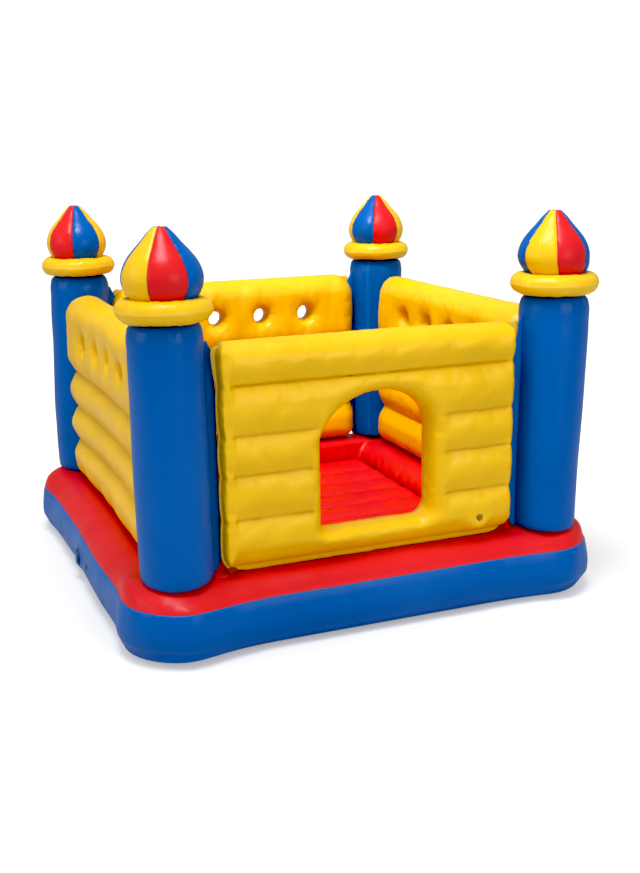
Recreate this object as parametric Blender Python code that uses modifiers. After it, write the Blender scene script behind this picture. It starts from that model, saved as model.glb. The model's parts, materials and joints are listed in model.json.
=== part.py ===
"""Inflatable castle bounce house, built as the real one is: welded vinyl skins round air
chambers, with the beams inside that hold the floor in shape, and its three air valves.

Frame: metres, +Z up. The origin is the middle of the footprint on the ground. -Y is the
front, the side with the crawl-through door, and -X is the left. Every skin is a real sheet
with a real thickness.
"""

import math

import bmesh
import bpy
from mathutils import Matrix, Vector

# ---------------------------------------------------------------- driving dimensions
VINYL = 0.00040          # base and floor sheet
VINYL_THIN = 0.00035     # walls, towers, collars and domes
GAP = 0.0004             # clearance where one skin meets its neighbour
WELD = 0.00001           # points closer than this become one

BASE_X, BASE_Y = 0.875, 0.862     # half width and half depth at the fullest height
SEAM_Z = 0.178                    # blue side band below, red top above
BASE_TOP = 0.238
FLOOR_X, FLOOR_Y = 0.552, 0.632   # half size of the sunken bouncing floor

TOWER_X, TOWER_Y = 0.680, 0.731   # tower axes
TOWER_R = 0.1165
TOWER_TOP = 1.0685

WALL_FOOT = 0.2405
WALL_TOP = 1.006                  # side and back walls
FRONT_TOP = 0.995
WALL_HALF = 0.072                 # half thickness at a lobe's crest
WALL_CLEARANCE = 0.004            # from a wall's end to the tower beside it

VALVE_Y, VALVE_Z = 0.020, 0.090            # big two-part valve, on the left side band
SMALL_Y, SMALL_Z = -0.142, 0.104           # small valve beside it
WALL_VALVE_X, WALL_VALVE_Z = 0.372, 0.325  # small valve at the foot of the front wall
VALVE_HOLE_R, SMALL_HOLE_R = 0.0252, 0.0064

# ---------------------------------------------------------------- scene and materials
for old in list(bpy.data.objects):
    bpy.data.objects.remove(old, do_unlink=True)

house = bpy.data.collections.new("inflatable_bounce_house")
cutters = bpy.data.collections.new("cutters")
bpy.context.scene.collection.children.link(house)
bpy.context.scene.collection.children.link(cutters)


def material(name, colour, roughness):
    made = bpy.data.materials.new(name)
    made.use_nodes = True
    shader = made.node_tree.nodes["Principled BSDF"]
    shader.inputs["Base Color"].default_value = colour
    shader.inputs["Roughness"].default_value = roughness
    made.diffuse_color = colour
    return made


BLUE_VINYL = material("blue_vinyl", colour=(0.0, 0.105, 0.440, 1.0), roughness=0.38)
RED_VINYL = material("red_vinyl", colour=(0.760, 0.012, 0.018, 1.0), roughness=0.38)
YELLOW_VINYL = material("yellow_vinyl", colour=(0.900, 0.620, 0.010, 1.0), roughness=0.38)
VALVE_HARD = material(
    "valve_blue_plastic", colour=(0.012, 0.060, 0.250, 1.0), roughness=0.35
)
VALVE_SOFT = material(
    "valve_clear_soft_plastic", colour=(0.300, 0.420, 0.700, 1.0), roughness=0.30
)


# ---------------------------------------------------------------- objects and modifiers
def add_object(name, mesh, mat, collection=house):
    obj = bpy.data.objects.new(name, mesh)
    collection.objects.link(obj)
    if mat is not None:
        mesh.materials.append(mat)
    if collection is cutters:
        obj.hide_render = True
        obj.display_type = "WIRE"
    return obj


def from_bmesh(name, bm, mat, collection=house, recalculate=True):
    """Turns a bmesh into an object, with its faces made to point outwards unless told not to."""
    if recalculate:
        bmesh.ops.recalc_face_normals(bm, faces=bm.faces)
    mesh = bpy.data.meshes.new(name)
    bm.to_mesh(mesh)
    bm.free()
    return add_object(name, mesh, mat, collection)


def add_empty(name, matrix):
    empty = bpy.data.objects.new(name, None)
    empty.matrix_world = matrix
    house.objects.link(empty)
    return empty


def smooth(obj):
    obj.data.shade_smooth()
    obj.data.set_sharp_from_angle(angle=math.radians(60))


def solidify(obj, thickness):
    mod = obj.modifiers.new("sheet", "SOLIDIFY")
    mod.thickness = thickness
    mod.offset = -1.0
    mod.use_even_offset = True
    mod.use_quality_normals = True


def cut(obj, cutter, name, operation="DIFFERENCE"):
    mod = obj.modifiers.new(name, "BOOLEAN")
    mod.operation = operation
    mod.object = cutter
    mod.solver = "EXACT"


def baked(obj):
    """A new mesh of the object with its modifiers applied."""
    bpy.context.view_layer.update()
    graph = bpy.context.evaluated_depsgraph_get()
    return bpy.data.meshes.new_from_object(obj.evaluated_get(graph))


# ---------------------------------------------------------------- basic shapes
def lathe(name, points, mat, steps, angle=360.0, closed=False, collection=house):
    """(radius, z) points turned about local Z. An open profile runs down the outer side, and
    makes a skin; a closed section makes a solid."""
    count = len(points)
    mesh = bpy.data.meshes.new(name)
    mesh.from_pydata(
        [(radius, 0.0, z) for radius, z in points],
        [(i, (i + 1) % count) for i in range(count if closed else count - 1)],
        [],
    )
    obj = add_object(name, mesh, mat, collection)
    mod = obj.modifiers.new("lathe", "SCREW")
    mod.axis = "Z"
    mod.angle = math.radians(angle)
    mod.steps = steps
    mod.render_steps = steps
    mod.use_merge_vertices = angle >= 360.0
    mod.merge_threshold = WELD
    return obj


def cone(name, radius_low, radius_high, depth, segments, matrix, mat, collection=house):
    bm = bmesh.new()
    bmesh.ops.create_cone(
        bm,
        cap_ends=True,
        segments=segments,
        radius1=radius_low,
        radius2=radius_high,
        depth=depth,
        matrix=matrix,
    )
    return from_bmesh(name, bm, mat, collection)


def cylinder_cutter(name, radius, depth, centre, axis, segments):
    turn = Vector((0, 0, 1)).rotation_difference(Vector(axis)).to_matrix().to_4x4()
    place = Matrix.Translation(centre) @ turn
    return cone(name, radius, radius, depth, segments, place, None, cutters)


def disc(name, radius_low, radius_high, depth, z, segments, mat=None):
    """A short, slightly tapered cylinder on local Z, centred at height z."""
    place = Matrix.Translation((0, 0, z))
    return cone(name, radius_low, radius_high, depth, segments, place, mat)


def box(name, low, high, mat=None):
    """A box between two opposite corners."""
    centre = [(a + b) / 2 for a, b in zip(low, high)]
    size = [b - a for a, b in zip(low, high)]
    bm = bmesh.new()
    bmesh.ops.create_cube(
        bm,
        size=1.0,
        matrix=Matrix.Translation(centre) @ Matrix.Diagonal((*size, 1.0)),
    )
    return from_bmesh(name, bm, mat)


def lobe(t, power):
    """Height of an inflated lobe, 0 to 1, at a share t of the way across it."""
    return math.sin(math.pi * t) ** power if 0 < t < 1 else 0.0


# ---------------------------------------------------------------- base: blue tray, red top
BASE_CORNER = 0.225        # plan corner radius at the fullest height
BASE_CORNER_MIN = 0.055
CORNER_SHRINK = 0.62       # loss of corner radius per unit of inset
CORNER_STEPS = 4           # segments round each plan corner
EDGE_POINTS = 3            # points inside each straight edge
CREST_INSET, MOUTH_INSET = 0.215, 0.314    # the red top's crest and its inner lower edge
CREST_CORNER, MOUTH_CORNER = 0.092, 0.013  # plan corner radii at those two insets
MOUTH_CLEARANCE = 0.0015   # round the floor

# (inset from the fullest outline, corner puff, z)
TRAY_RINGS = [
    (0.070, 0.014, 0.0000),
    (0.040, 0.032, 0.0140),
    (0.012, 0.042, 0.0480),
    (0.0, 0.042, 0.0900),
    (0.0, 0.034, 0.1250),
    (0.007, 0.025, 0.1560),
    (0.018, 0.018, SEAM_Z),
]
TOP_RINGS = [
    (0.0185, 0.0178, SEAM_Z + GAP),
    (0.033, 0.014, 0.2000),
    (0.056, 0.010, 0.2190),
    (0.092, 0.008, 0.2320),
    (0.145, 0.004, BASE_TOP),
    (CREST_INSET, 0.0, BASE_TOP),
]
# (inset, z) inside the crest, down to the floor
MOUTH_RINGS = [(0.262, 0.2290), (0.292, 0.2080), (0.310, 0.1720), (MOUTH_INSET, 0.1300)]


def rounded_rectangle(half_x, half_y, corner):
    """Plan points, anticlockwise from the +X side, of a rectangle with round corners."""
    arcs = []
    for sign_x, sign_y, start in ((1, 1, 0), (-1, 1, 90), (-1, -1, 180), (1, -1, 270)):
        arc = []
        for i in range(CORNER_STEPS + 1):
            angle = math.radians(start + 90.0 * i / CORNER_STEPS)
            arc.append(
                (
                    sign_x * (half_x - corner) + corner * math.cos(angle),
                    sign_y * (half_y - corner) + corner * math.sin(angle),
                )
            )
        arcs.append(arc)
    plan = []
    for arc, following in zip(arcs, arcs[1:] + arcs[:1]):
        plan += arc
        x, y = arc[-1]
        next_x, next_y = following[0]
        for k in range(1, EDGE_POINTS + 1):
            t = k / (EDGE_POINTS + 1)
            plan.append((x + (next_x - x) * t, y + (next_y - y) * t))
    return plan


def base_outline(inset, puff):
    """The base's plan at an inset from its fullest line. The corners under the towers puff
    outwards."""
    half_x, half_y = BASE_X - inset, BASE_Y - inset
    corner = max(BASE_CORNER - inset * CORNER_SHRINK, BASE_CORNER_MIN)
    plan = []
    for x, y in rounded_rectangle(half_x, half_y, corner):
        share = min(abs(x) / half_x, abs(y) / half_y) ** 4
        grow = 1 + puff * share / math.hypot(x, y)
        plan.append((x * grow, y * grow))
    return plan


def mouth_outline(inset):
    """The plan between the red top's crest and the floor's own outline."""
    t = (inset - CREST_INSET) / (MOUTH_INSET - CREST_INSET)
    return rounded_rectangle(
        (BASE_X - CREST_INSET) * (1 - t) + (FLOOR_X + MOUTH_CLEARANCE) * t,
        (BASE_Y - CREST_INSET) * (1 - t) + (FLOOR_Y + MOUTH_CLEARANCE) * t,
        CREST_CORNER * (1 - t) + MOUTH_CORNER * t,
    )


def base_skin(name, rings, mat, closed_bottom=False):
    """A sheet through (plan, z) rings of equal point count. It is a loft because the plan's
    corner radius changes with height."""
    bm = bmesh.new()
    rows = [[bm.verts.new((x, y, z)) for x, y in plan] for plan, z in rings]
    for low, high in zip(rows, rows[1:]):
        count = len(low)
        for i in range(count):
            j = (i + 1) % count
            bm.faces.new((low[i], low[j], high[j], high[i]))
    if closed_bottom:
        bm.faces.new(list(reversed(rows[0])))
    bm.normal_update()
    skin = from_bmesh(name, bm, mat, recalculate=False)
    solidify(skin, VINYL)
    smooth(skin)
    return skin


base_lower = base_skin(
    "base_lower_skin",
    [(base_outline(inset, puff), z) for inset, puff, z in TRAY_RINGS],
    BLUE_VINYL,
    closed_bottom=True,
)
# (cutter, modifier, radius, y, z, segments) of the holes in the left side band
for cutter_name, hole_name, radius, y, z, segments in (
    ("cut_base_valve", "valve_hole", VALVE_HOLE_R, VALVE_Y, VALVE_Z, 24),
    ("cut_small_valve", "small_valve_hole", SMALL_HOLE_R, SMALL_Y, SMALL_Z, 12),
):
    hole = cylinder_cutter(cutter_name, radius, 0.08, (-BASE_X, y, z), (1, 0, 0), segments)
    cut(base_lower, hole, hole_name)

base_skin(
    "base_upper_skin",
    [(base_outline(inset, puff), z) for inset, puff, z in TOP_RINGS]
    + [(mouth_outline(inset), z) for inset, z in MOUTH_RINGS],
    RED_VINYL,
)

# ---------------------------------------------------------------- floor
FLOOR_CREST, FLOOR_VALLEY = 0.168, 0.150
RIB_PITCH = 0.147
FLOOR_RIBS = 8
RIB_STEPS = 3              # segments across a rib
TOP_INSET = 0.006          # top sheet's skirt, in from the floor's edge
SHOULDER = 0.012           # width of the slope from the skirt up to the ribs
SKIRT_FOOT, SKIRT_TOP = 0.012, 0.120
BOTTOM_INSET, BOTTOM_Z = 0.004, 0.0012
BEAM_INSET, BEAM_FOOT = 0.040, 0.0020

edge_x, edge_y = FLOOR_X - TOP_INSET, FLOOR_Y - TOP_INSET
rib_lines = [(i - FLOOR_RIBS / 2) * RIB_PITCH for i in range(FLOOR_RIBS + 1)]
rib_lines[0], rib_lines[-1] = -edge_y + SHOULDER, edge_y - SHOULDER   # the end ribs are wider


def floor_profile():
    """(y, z) points of the top sheet from front to back: skirt, shoulder, ribs, and the same
    down again. The shoulders double the end points of the ribs and are welded later."""
    ribs = []
    for start, end in zip(rib_lines, rib_lines[1:]):
        for k in range(RIB_STEPS):
            t = k / RIB_STEPS
            rise = (FLOOR_CREST - FLOOR_VALLEY) * lobe(t, 0.7)
            ribs.append((start + (end - start) * t, FLOOR_VALLEY + rise))
    ribs.append((rib_lines[-1], FLOOR_VALLEY))
    skirt = [
        (edge_y - SHOULDER, FLOOR_VALLEY),
        (edge_y, SKIRT_TOP),
        (edge_y, SKIRT_FOOT),
    ]
    return [(-y, z) for y, z in reversed(skirt)] + ribs + skirt


def floor_top_sheet():
    """The ribbed top with a skirt on all four sides, open at the bottom."""
    # (x, highest z there)
    stations = (
        (-edge_x, SKIRT_FOOT),
        (-edge_x, SKIRT_TOP),
        (-edge_x + SHOULDER, FLOOR_CREST),
        (edge_x - SHOULDER, FLOOR_CREST),
        (edge_x, SKIRT_TOP),
        (edge_x, SKIRT_FOOT),
    )
    profile = floor_profile()
    bm = bmesh.new()
    rows = [[bm.verts.new((x, y, min(z, limit))) for y, z in profile] for x, limit in stations]
    for left, right in zip(rows, rows[1:]):
        for i in range(len(profile) - 1):
            bm.faces.new((left[i], right[i], right[i + 1], left[i + 1]))
    bmesh.ops.remove_doubles(bm, verts=bm.verts, dist=WELD)
    bm.normal_update()
    sheet = from_bmesh("floor_top_sheet", bm, RED_VINYL)
    # an open sheet has no sure outside, so it is turned to face up
    if sum(f.normal.z * f.area for f in sheet.data.polygons) < 0:
        sheet.data.flip_normals()
    solidify(sheet, VINYL)


floor_top_sheet()
box(
    "floor_bottom_sheet",
    (-FLOOR_X + BOTTOM_INSET, -FLOOR_Y + BOTTOM_INSET, BOTTOM_Z),
    (FLOOR_X - BOTTOM_INSET, FLOOR_Y - BOTTOM_INSET, BOTTOM_Z + VINYL),
    BLUE_VINYL,
)
# a beam stands under each valley between two ribs
for i, y in enumerate(rib_lines[1:-1], 1):
    box(
        f"floor_beam_{i}",
        (-FLOOR_X + BEAM_INSET, y - VINYL / 2, BEAM_FOOT),
        (FLOOR_X - BEAM_INSET, y + VINYL / 2, FLOOR_VALLEY - VINYL - GAP),
        RED_VINYL,
    )

# ---------------------------------------------------------------- towers, collars, domes
TOWER_STEPS = 14
COLLAR_R, COLLAR_TUBE, COLLAR_Z = 0.110, 0.0375, 1.107
COLLAR_SWEEP, COLLAR_SEGMENTS = 210.0, 6   # degrees of the tube's section, open on the inside
GORES = 6
GORE_ANGLE = 360.0 / GORES

# (radius, z), from the open centre of the tower's top to its foot
TOWER_PROFILE = [
    (0.020, TOWER_TOP),
    (0.096, TOWER_TOP),
    (0.1110, 1.052),
    (0.1155, 1.000),
    (TOWER_R + 0.001, 0.620),
    (0.1145, 0.310),
    (0.104, BASE_TOP + GAP),
    (0.086, BASE_TOP + GAP),
]
# (radius, z), from the dome's tip to its foot
DOME_PROFILE = [
    (0.0170, 1.3500), (0.0390, 1.3300), (0.0660, 1.3010), (0.0950, 1.2720),
    (0.1150, 1.2420), (0.1230, 1.2080), (0.1190, 1.1760), (0.1020, 1.1455),
]
# place, X side, Y side, angle of the first dome seam in degrees, gore colours in turn
TOWERS = (
    ("front_left", -1, -1, -185.6, ("yellow", "red", "blue")),
    ("front_right", 1, -1, -177.3, ("yellow", "red", "blue")),
    ("back_left", -1, 1, -168.0, ("red", "blue", "yellow")),
    ("back_right", 1, 1, -180.4, ("blue", "red", "yellow")),
)
GORE_MATERIAL = {"yellow": YELLOW_VINYL, "red": RED_VINYL, "blue": BLUE_VINYL}


def collar_profile():
    """(radius, z) points round the outer side of the collar's tube, from top to bottom."""
    points = []
    for k in range(COLLAR_SEGMENTS + 1):
        angle = math.radians(COLLAR_SWEEP / 2 - COLLAR_SWEEP * k / COLLAR_SEGMENTS)
        points.append(
            (
                COLLAR_R + COLLAR_TUBE * math.cos(angle),
                COLLAR_Z + COLLAR_TUBE * math.sin(angle),
            )
        )
    return points


def tower_skin(name, profile, mat, axis, steps=TOWER_STEPS, angle=360.0):
    skin = lathe(name, profile, mat, steps, angle)
    skin.parent = axis
    solidify(skin, VINYL_THIN)
    return skin


for place, side_x, side_y, seam_angle, colours in TOWERS:
    axis = add_empty(
        f"axis_{place}", Matrix.Translation((side_x * TOWER_X, side_y * TOWER_Y, 0.0))
    )
    tower_skin(f"tower_{place}", TOWER_PROFILE, BLUE_VINYL, axis)
    tower_skin(f"collar_{place}", collar_profile(), YELLOW_VINYL, axis)
    for k in range(GORES):
        colour = colours[k % len(colours)]
        gore = tower_skin(
            f"dome_{place}_gore_{k + 1}_{colour}",
            DOME_PROFILE,
            GORE_MATERIAL[colour],
            axis,
            steps=2,
            angle=GORE_ANGLE,
        )
        turn = math.radians(seam_angle + GORE_ANGLE * k)
        middle = turn + math.radians(GORE_ANGLE / 2)
        gore.rotation_euler = (0.0, 0.0, turn)
        # moved out from the axis so that neighbouring gores stay apart
        gore.location = (GAP * math.cos(middle), GAP * math.sin(middle), 0.0)

# ---------------------------------------------------------------- wall skins
SIDE_GROOVES = (0.414, 0.553, 0.697)           # heights of the grooves between lobes
FRONT_GROOVES = (0.425, 0.570, 0.700, 0.860)
TALL_LOBE = 0.2                                # a taller lobe gets one more segment
GROOVE_SHARE, END_SHARE = 0.62, 0.10           # share of thickness at grooves, foot and top
TOP_CROP, TOP_CROP_LENGTH = 0.075, 0.10        # rounding of the upper corners in elevation
FOOT_CROP, FOOT_CROP_LENGTH = 0.030, 0.06      # and of the lower ones
# (distance from the wall's end, share of thickness): a flat weld margin, then the pillow
WALL_COLUMNS = [(0.0, 0.012), (0.024, 0.030), (0.046, 0.52), (0.095, 0.90), (0.170, 1.0)]


def wall_rows(grooves, top):
    """(height, share of half thickness) up the wall: full at a lobe's crest, drawn in at a
    groove."""
    rows = []
    lines = [WALL_FOOT, *grooves, top]
    last = len(lines) - 2
    for i, (low, high) in enumerate(zip(lines, lines[1:])):
        count = 4 if high - low > TALL_LOBE else 3
        for k in range(count + (i == last)):
            t = k / count
            at_end = (i == 0 and t < 0.5) or (i == last and t > 0.5)
            least = END_SHARE if at_end else GROOVE_SHARE
            rows.append((low + (high - low) * t, least + (1.0 - least) * lobe(t, 0.62)))
    return rows


def wall_skin(name, half_length, grooves, top):
    """A pillow made along X and centred on Y = 0, thick along its middle and drawn to a weld
    margin at both ends."""
    rows = wall_rows(grooves, top)
    columns = [(-half_length + end, end, share) for end, share in WALL_COLUMNS]
    columns += [(half_length - end, end, share) for end, share in reversed(WALL_COLUMNS)]
    bm = bmesh.new()
    loops = []
    for x, end, column_share in columns:
        crop_top = TOP_CROP * (1 - min(end / TOP_CROP_LENGTH, 1.0)) ** 2
        crop_foot = FOOT_CROP * (1 - min(end / FOOT_CROP_LENGTH, 1.0)) ** 2
        foot = WALL_FOOT + crop_foot
        loop = []
        for side, run in ((-1, rows), (1, rows[::-1])):
            for z, row_share in run:
                t = (z - WALL_FOOT) / (top - WALL_FOOT)
                y = side * WALL_HALF * row_share * column_share
                loop.append(bm.verts.new((x, y, foot + t * (top - crop_top - foot))))
        loops.append(loop)
    for a, b in zip(loops, loops[1:]):
        count = len(a)
        for i in range(count):
            j = (i + 1) % count
            bm.faces.new((a[i], b[i], b[j], a[j]))
    bm.faces.new(loops[0])
    bm.faces.new(list(reversed(loops[-1])))
    return from_bmesh(name, bm, YELLOW_VINYL)


# ---------------------------------------------------------------- side and back walls
WINDOWS = 4
WINDOW_PITCH = 0.206
WINDOW_Z = 0.843
WINDOW_R, DIMPLE_R = 0.029, 0.082
PORT_R, PORT_X, PORT_Z = 0.008, -0.30, 0.345   # small hole in the wall's local +Y face


def windows_cutter(name):
    """A row of windows as one cutter, each a dimple from both sides that meet in a small round
    see-through hole."""
    half = [(0.0, 0.110), (DIMPLE_R + 0.030, 0.110), (DIMPLE_R * 0.66, 0.036)]
    section = half + [(WINDOW_R, 0.0)] + [(radius, -z) for radius, z in reversed(half)]
    shape = lathe("window", section, None, 10, collection=cutters)
    window = baked(shape)
    bpy.data.objects.remove(shape, do_unlink=True)
    bm = bmesh.new()
    for k in range(WINDOWS):
        x = (k - (WINDOWS - 1) / 2) * WINDOW_PITCH
        part = window.copy()
        part.transform(
            Matrix.Translation((x, 0.0, WINDOW_Z)) @ Matrix.Rotation(math.radians(90), 4, "X")
        )
        bm.from_mesh(part)
    bmesh.ops.remove_doubles(bm, verts=bm.verts, dist=WELD)
    return from_bmesh(name, bm, None, cutters)


side_half = TOWER_Y - TOWER_R - WALL_CLEARANCE
front_half = TOWER_X - TOWER_R - WALL_CLEARANCE   # front and back walls
# name, half length, x, y, turn about Z in degrees
for name, half_length, x, y, angle in (
    ("wall_left", side_half, -TOWER_X, 0.0, 90.0),
    ("wall_right", side_half, TOWER_X, 0.0, 90.0),
    ("wall_back", front_half, 0.0, TOWER_Y, 0.0),
):
    wall = wall_skin(name, half_length, SIDE_GROOVES, WALL_TOP)
    windows = windows_cutter(f"cut_{name}_windows")
    port = cylinder_cutter(
        f"cut_{name}_port", PORT_R, 0.04, (PORT_X, WALL_HALF, PORT_Z), (0, 1, 0), 8
    )
    place = Matrix.Translation((x, y, 0.0)) @ Matrix.Rotation(math.radians(angle), 4, "Z")
    for obj in (wall, windows, port):
        obj.matrix_world = place
    cut(wall, windows, "windows")
    solidify(wall, VINYL_THIN)
    cut(wall, port, "air_port")

# ---------------------------------------------------------------- front wall
DOOR_HALF = 0.204
DOOR_SILL, DOOR_TOP = 0.351, 0.803
DOOR_CORNER = 0.045        # radius of the corners at the sill
DOOR_RISE = 0.172          # height of the arched top
DOOR_CUT_HALF = 0.2        # half depth of the cutter
TAB_LOW, TAB_HIGH = (0.508, -0.7520, 0.2386), (0.556, -0.7020, 0.2396)   # right-hand tab


def arc_points(centre_x, centre_z, radius_x, radius_z, start, step, count):
    """(x, z) points on an ellipse; start and step are in degrees."""
    angles = [math.radians(start + step * k) for k in range(count)]
    return [
        (centre_x + radius_x * math.cos(a), centre_z + radius_z * math.sin(a)) for a in angles
    ]


def door_cutter():
    """The crawl-through door: a straight-sided arch with small corners at the sill."""
    corner_x, corner_z = DOOR_HALF - DOOR_CORNER, DOOR_SILL + DOOR_CORNER
    outline = (
        arc_points(corner_x, corner_z, DOOR_CORNER, DOOR_CORNER, -90.0, 45.0, 3)
        + arc_points(0.0, DOOR_TOP - DOOR_RISE, DOOR_HALF, DOOR_RISE, 0.0, 22.5, 9)
        + arc_points(-corner_x, corner_z, DOOR_CORNER, DOOR_CORNER, 180.0, 45.0, 3)
    )
    bm = bmesh.new()
    face = bm.faces.new([bm.verts.new((x, -DOOR_CUT_HALF, z)) for x, z in outline])
    grown = bmesh.ops.extrude_face_region(bm, geom=[face])
    bmesh.ops.translate(
        bm,
        vec=(0.0, 2 * DOOR_CUT_HALF, 0.0),
        verts=[v for v in grown["geom"] if isinstance(v, bmesh.types.BMVert)],
    )
    return from_bmesh("cut_door", bm, None, cutters)


wall_valve_place = (WALL_VALVE_X, -TOWER_Y - WALL_HALF, WALL_VALVE_Z)
front = wall_skin("wall_front", front_half, FRONT_GROOVES, FRONT_TOP)
door = door_cutter()
for obj in (front, door):
    obj.location = (0.0, -TOWER_Y, 0.0)
cut(front, door, "door")
solidify(front, VINYL_THIN)
cut(
    front,
    cylinder_cutter("cut_wall_valve", SMALL_HOLE_R, 0.06, wall_valve_place, (0, 1, 0), 12),
    "valve_hole",
)

# weld tabs at the front wall's foot corners
for side, sign in (("left", -1), ("right", 1)):
    low_x, high_x = sorted((sign * TAB_LOW[0], sign * TAB_HIGH[0]))
    box(
        f"wall_front_foot_tab_{side}",
        (low_x, *TAB_LOW[1:]),
        (high_x, *TAB_HIGH[1:]),
        RED_VINYL,
    )


# ---------------------------------------------------------------- valve helpers
def valve_frame(name, location, outward):
    """An empty on a valve's axis whose +Z points out of the chamber, and whose +X points up."""
    out = Vector(outward)
    up = Vector((0, 0, 1))
    turn = Matrix((up, out.cross(up), out)).transposed()
    return add_empty(name, Matrix.Translation(location) @ turn.to_4x4())


def on_frame(obj, frame, pivot=None):
    """Puts a valve piece on its frame, with its origin on its own hinge when it has one."""
    if pivot is not None:
        obj.data.transform(Matrix.Translation(-Vector(pivot)))
        obj.location = pivot
    obj.parent = frame


def merged(name, parts, mat):
    """Shapes of one moulded piece, joined by a Boolean union and kept as one mesh."""
    first = parts[0]
    for k, other in enumerate(parts[1:]):
        cut(first, other, f"join_{k}", "UNION")
    mesh = baked(first)
    for part in parts:
        bpy.data.objects.remove(part, do_unlink=True)
    mesh.materials.clear()
    return add_object(name, mesh, mat)


# ---------------------------------------------------------------- big valve
# (radius, z) closed sections on the valve's frame, where z = 0 is the base's side
SOCKET_SECTION = [
    (0.0225, 0.0022), (0.0335, 0.0022), (0.0345, 0.0014), (0.0345, 0.0005),
    (0.0247, 0.0005), (0.0247, -0.0200), (0.0225, -0.0200),
]
GASKET_SECTION = [(0.0229, 0.0032), (0.0262, 0.0032), (0.0262, 0.0025), (0.0229, 0.0025)]
INSERT_SECTION = [
    (0.0106, 0.0068), (0.0262, 0.0068), (0.0272, 0.0058), (0.0272, 0.0036),
    (0.0221, 0.0036), (0.0221, -0.0170), (0.0201, -0.0170), (0.0201, 0.0040),
    (0.0126, 0.0040), (0.0126, -0.0100), (0.0106, -0.0100),
]
HINGE_UP, HINGE_OUT = 0.0195, 0.0085   # the cap's living hinge, above and outside the mouth
FLAP_R, FLAP_THICK, FLAP_Z = 0.0124, 0.0006, -0.0107


def big_valve():
    """A socket, a gasket and an insert, with a hinged cap outside and a flap inside."""
    frame = valve_frame("axis_base_valve", (-BASE_X, VALVE_Y, VALVE_Z), (-1, 0, 0))
    for piece, section, mat in (
        ("socket", SOCKET_SECTION, VALVE_HARD),
        ("gasket", GASKET_SECTION, VALVE_SOFT),
        ("insert", INSERT_SECTION, VALVE_HARD),
    ):
        on_frame(lathe(f"base_valve_{piece}", section, mat, 20, closed=True), frame)
    cap_parts = [
        disc("cap_disc", 0.0138, 0.0132, depth=0.0020, z=0.0082, segments=20),
        disc("cap_plug", 0.0090, 0.0100, depth=0.0064, z=0.0044, segments=20),
        box("cap_strap", (0.0120, -0.0035, 0.0073), (HINGE_UP + 0.0002, 0.0035, HINGE_OUT)),
        box("cap_tab", (-0.0185, -0.0030, 0.0074), (-0.0122, 0.0030, 0.0090)),
    ]
    cap = merged("base_valve_cap", cap_parts, VALVE_SOFT)
    on_frame(cap, frame, (HINGE_UP, 0.0, HINGE_OUT))
    flap = disc("base_valve_flap", FLAP_R, FLAP_R, FLAP_THICK, FLAP_Z, 16, VALVE_SOFT)
    # hinged at the top of its outer face
    on_frame(flap, frame, (FLAP_R, 0.0, FLAP_Z + FLAP_THICK / 2))


# ---------------------------------------------------------------- small valves
PATCH_SECTION = [(0.0060, 0.0012), (0.0128, 0.0012), (0.0134, 0.0005), (0.0060, 0.0005)]
STEM_SECTION = [
    (0.0039, 0.0028), (0.0072, 0.0028), (0.0072, 0.0016),
    (0.0056, 0.0016), (0.0056, -0.0170), (0.0039, -0.0170),
]
STOPPER_HINGE = (0.0082, 0.0, 0.0041)


def small_valve(prefix, location, outward):
    """A push-in valve: a welded patch, a soft stem that slides in it, and a stopper on a
    strap."""
    frame = valve_frame(f"axis_{prefix}", location, outward)
    for piece, section in (("patch", PATCH_SECTION), ("stem", STEM_SECTION)):
        on_frame(lathe(f"{prefix}_{piece}", section, VALVE_SOFT, 12, closed=True), frame)
    stopper_parts = [
        disc("stopper_disc", 0.0062, 0.0058, depth=0.0014, z=0.0038, segments=12),
        disc("stopper_plug", 0.0026, 0.0033, depth=0.0030, z=0.0020, segments=12),
        box("stopper_strap", (0.0050, -0.0018, 0.0033), (0.0084, 0.0018, 0.0041)),
    ]
    on_frame(merged(f"{prefix}_stopper", stopper_parts, VALVE_SOFT), frame, STOPPER_HINGE)


big_valve()
small_valve("base_small_valve", (-BASE_X, SMALL_Y, SMALL_Z), (-1, 0, 0))
small_valve("wall_valve", wall_valve_place, (0, -1, 0))
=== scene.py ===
"""Looks for an inflatable castle bounce house, built round its CAD frame.

+Z is up, the front faces -Y and the left side faces -X. Every skin is an inflated form: the
walls are welded pillows found as the surface of a thickness field, then swollen by a short
cloth simulation; the ring, towers, collars and domes are lofted from sections and puckered
along their seams. Main places and sizes are read from the CAD pieces' boxes.
"""

import itertools
import json
import math
from types import SimpleNamespace

import bmesh
import bpy
import numpy as np
from mathutils import Matrix, Vector

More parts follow.
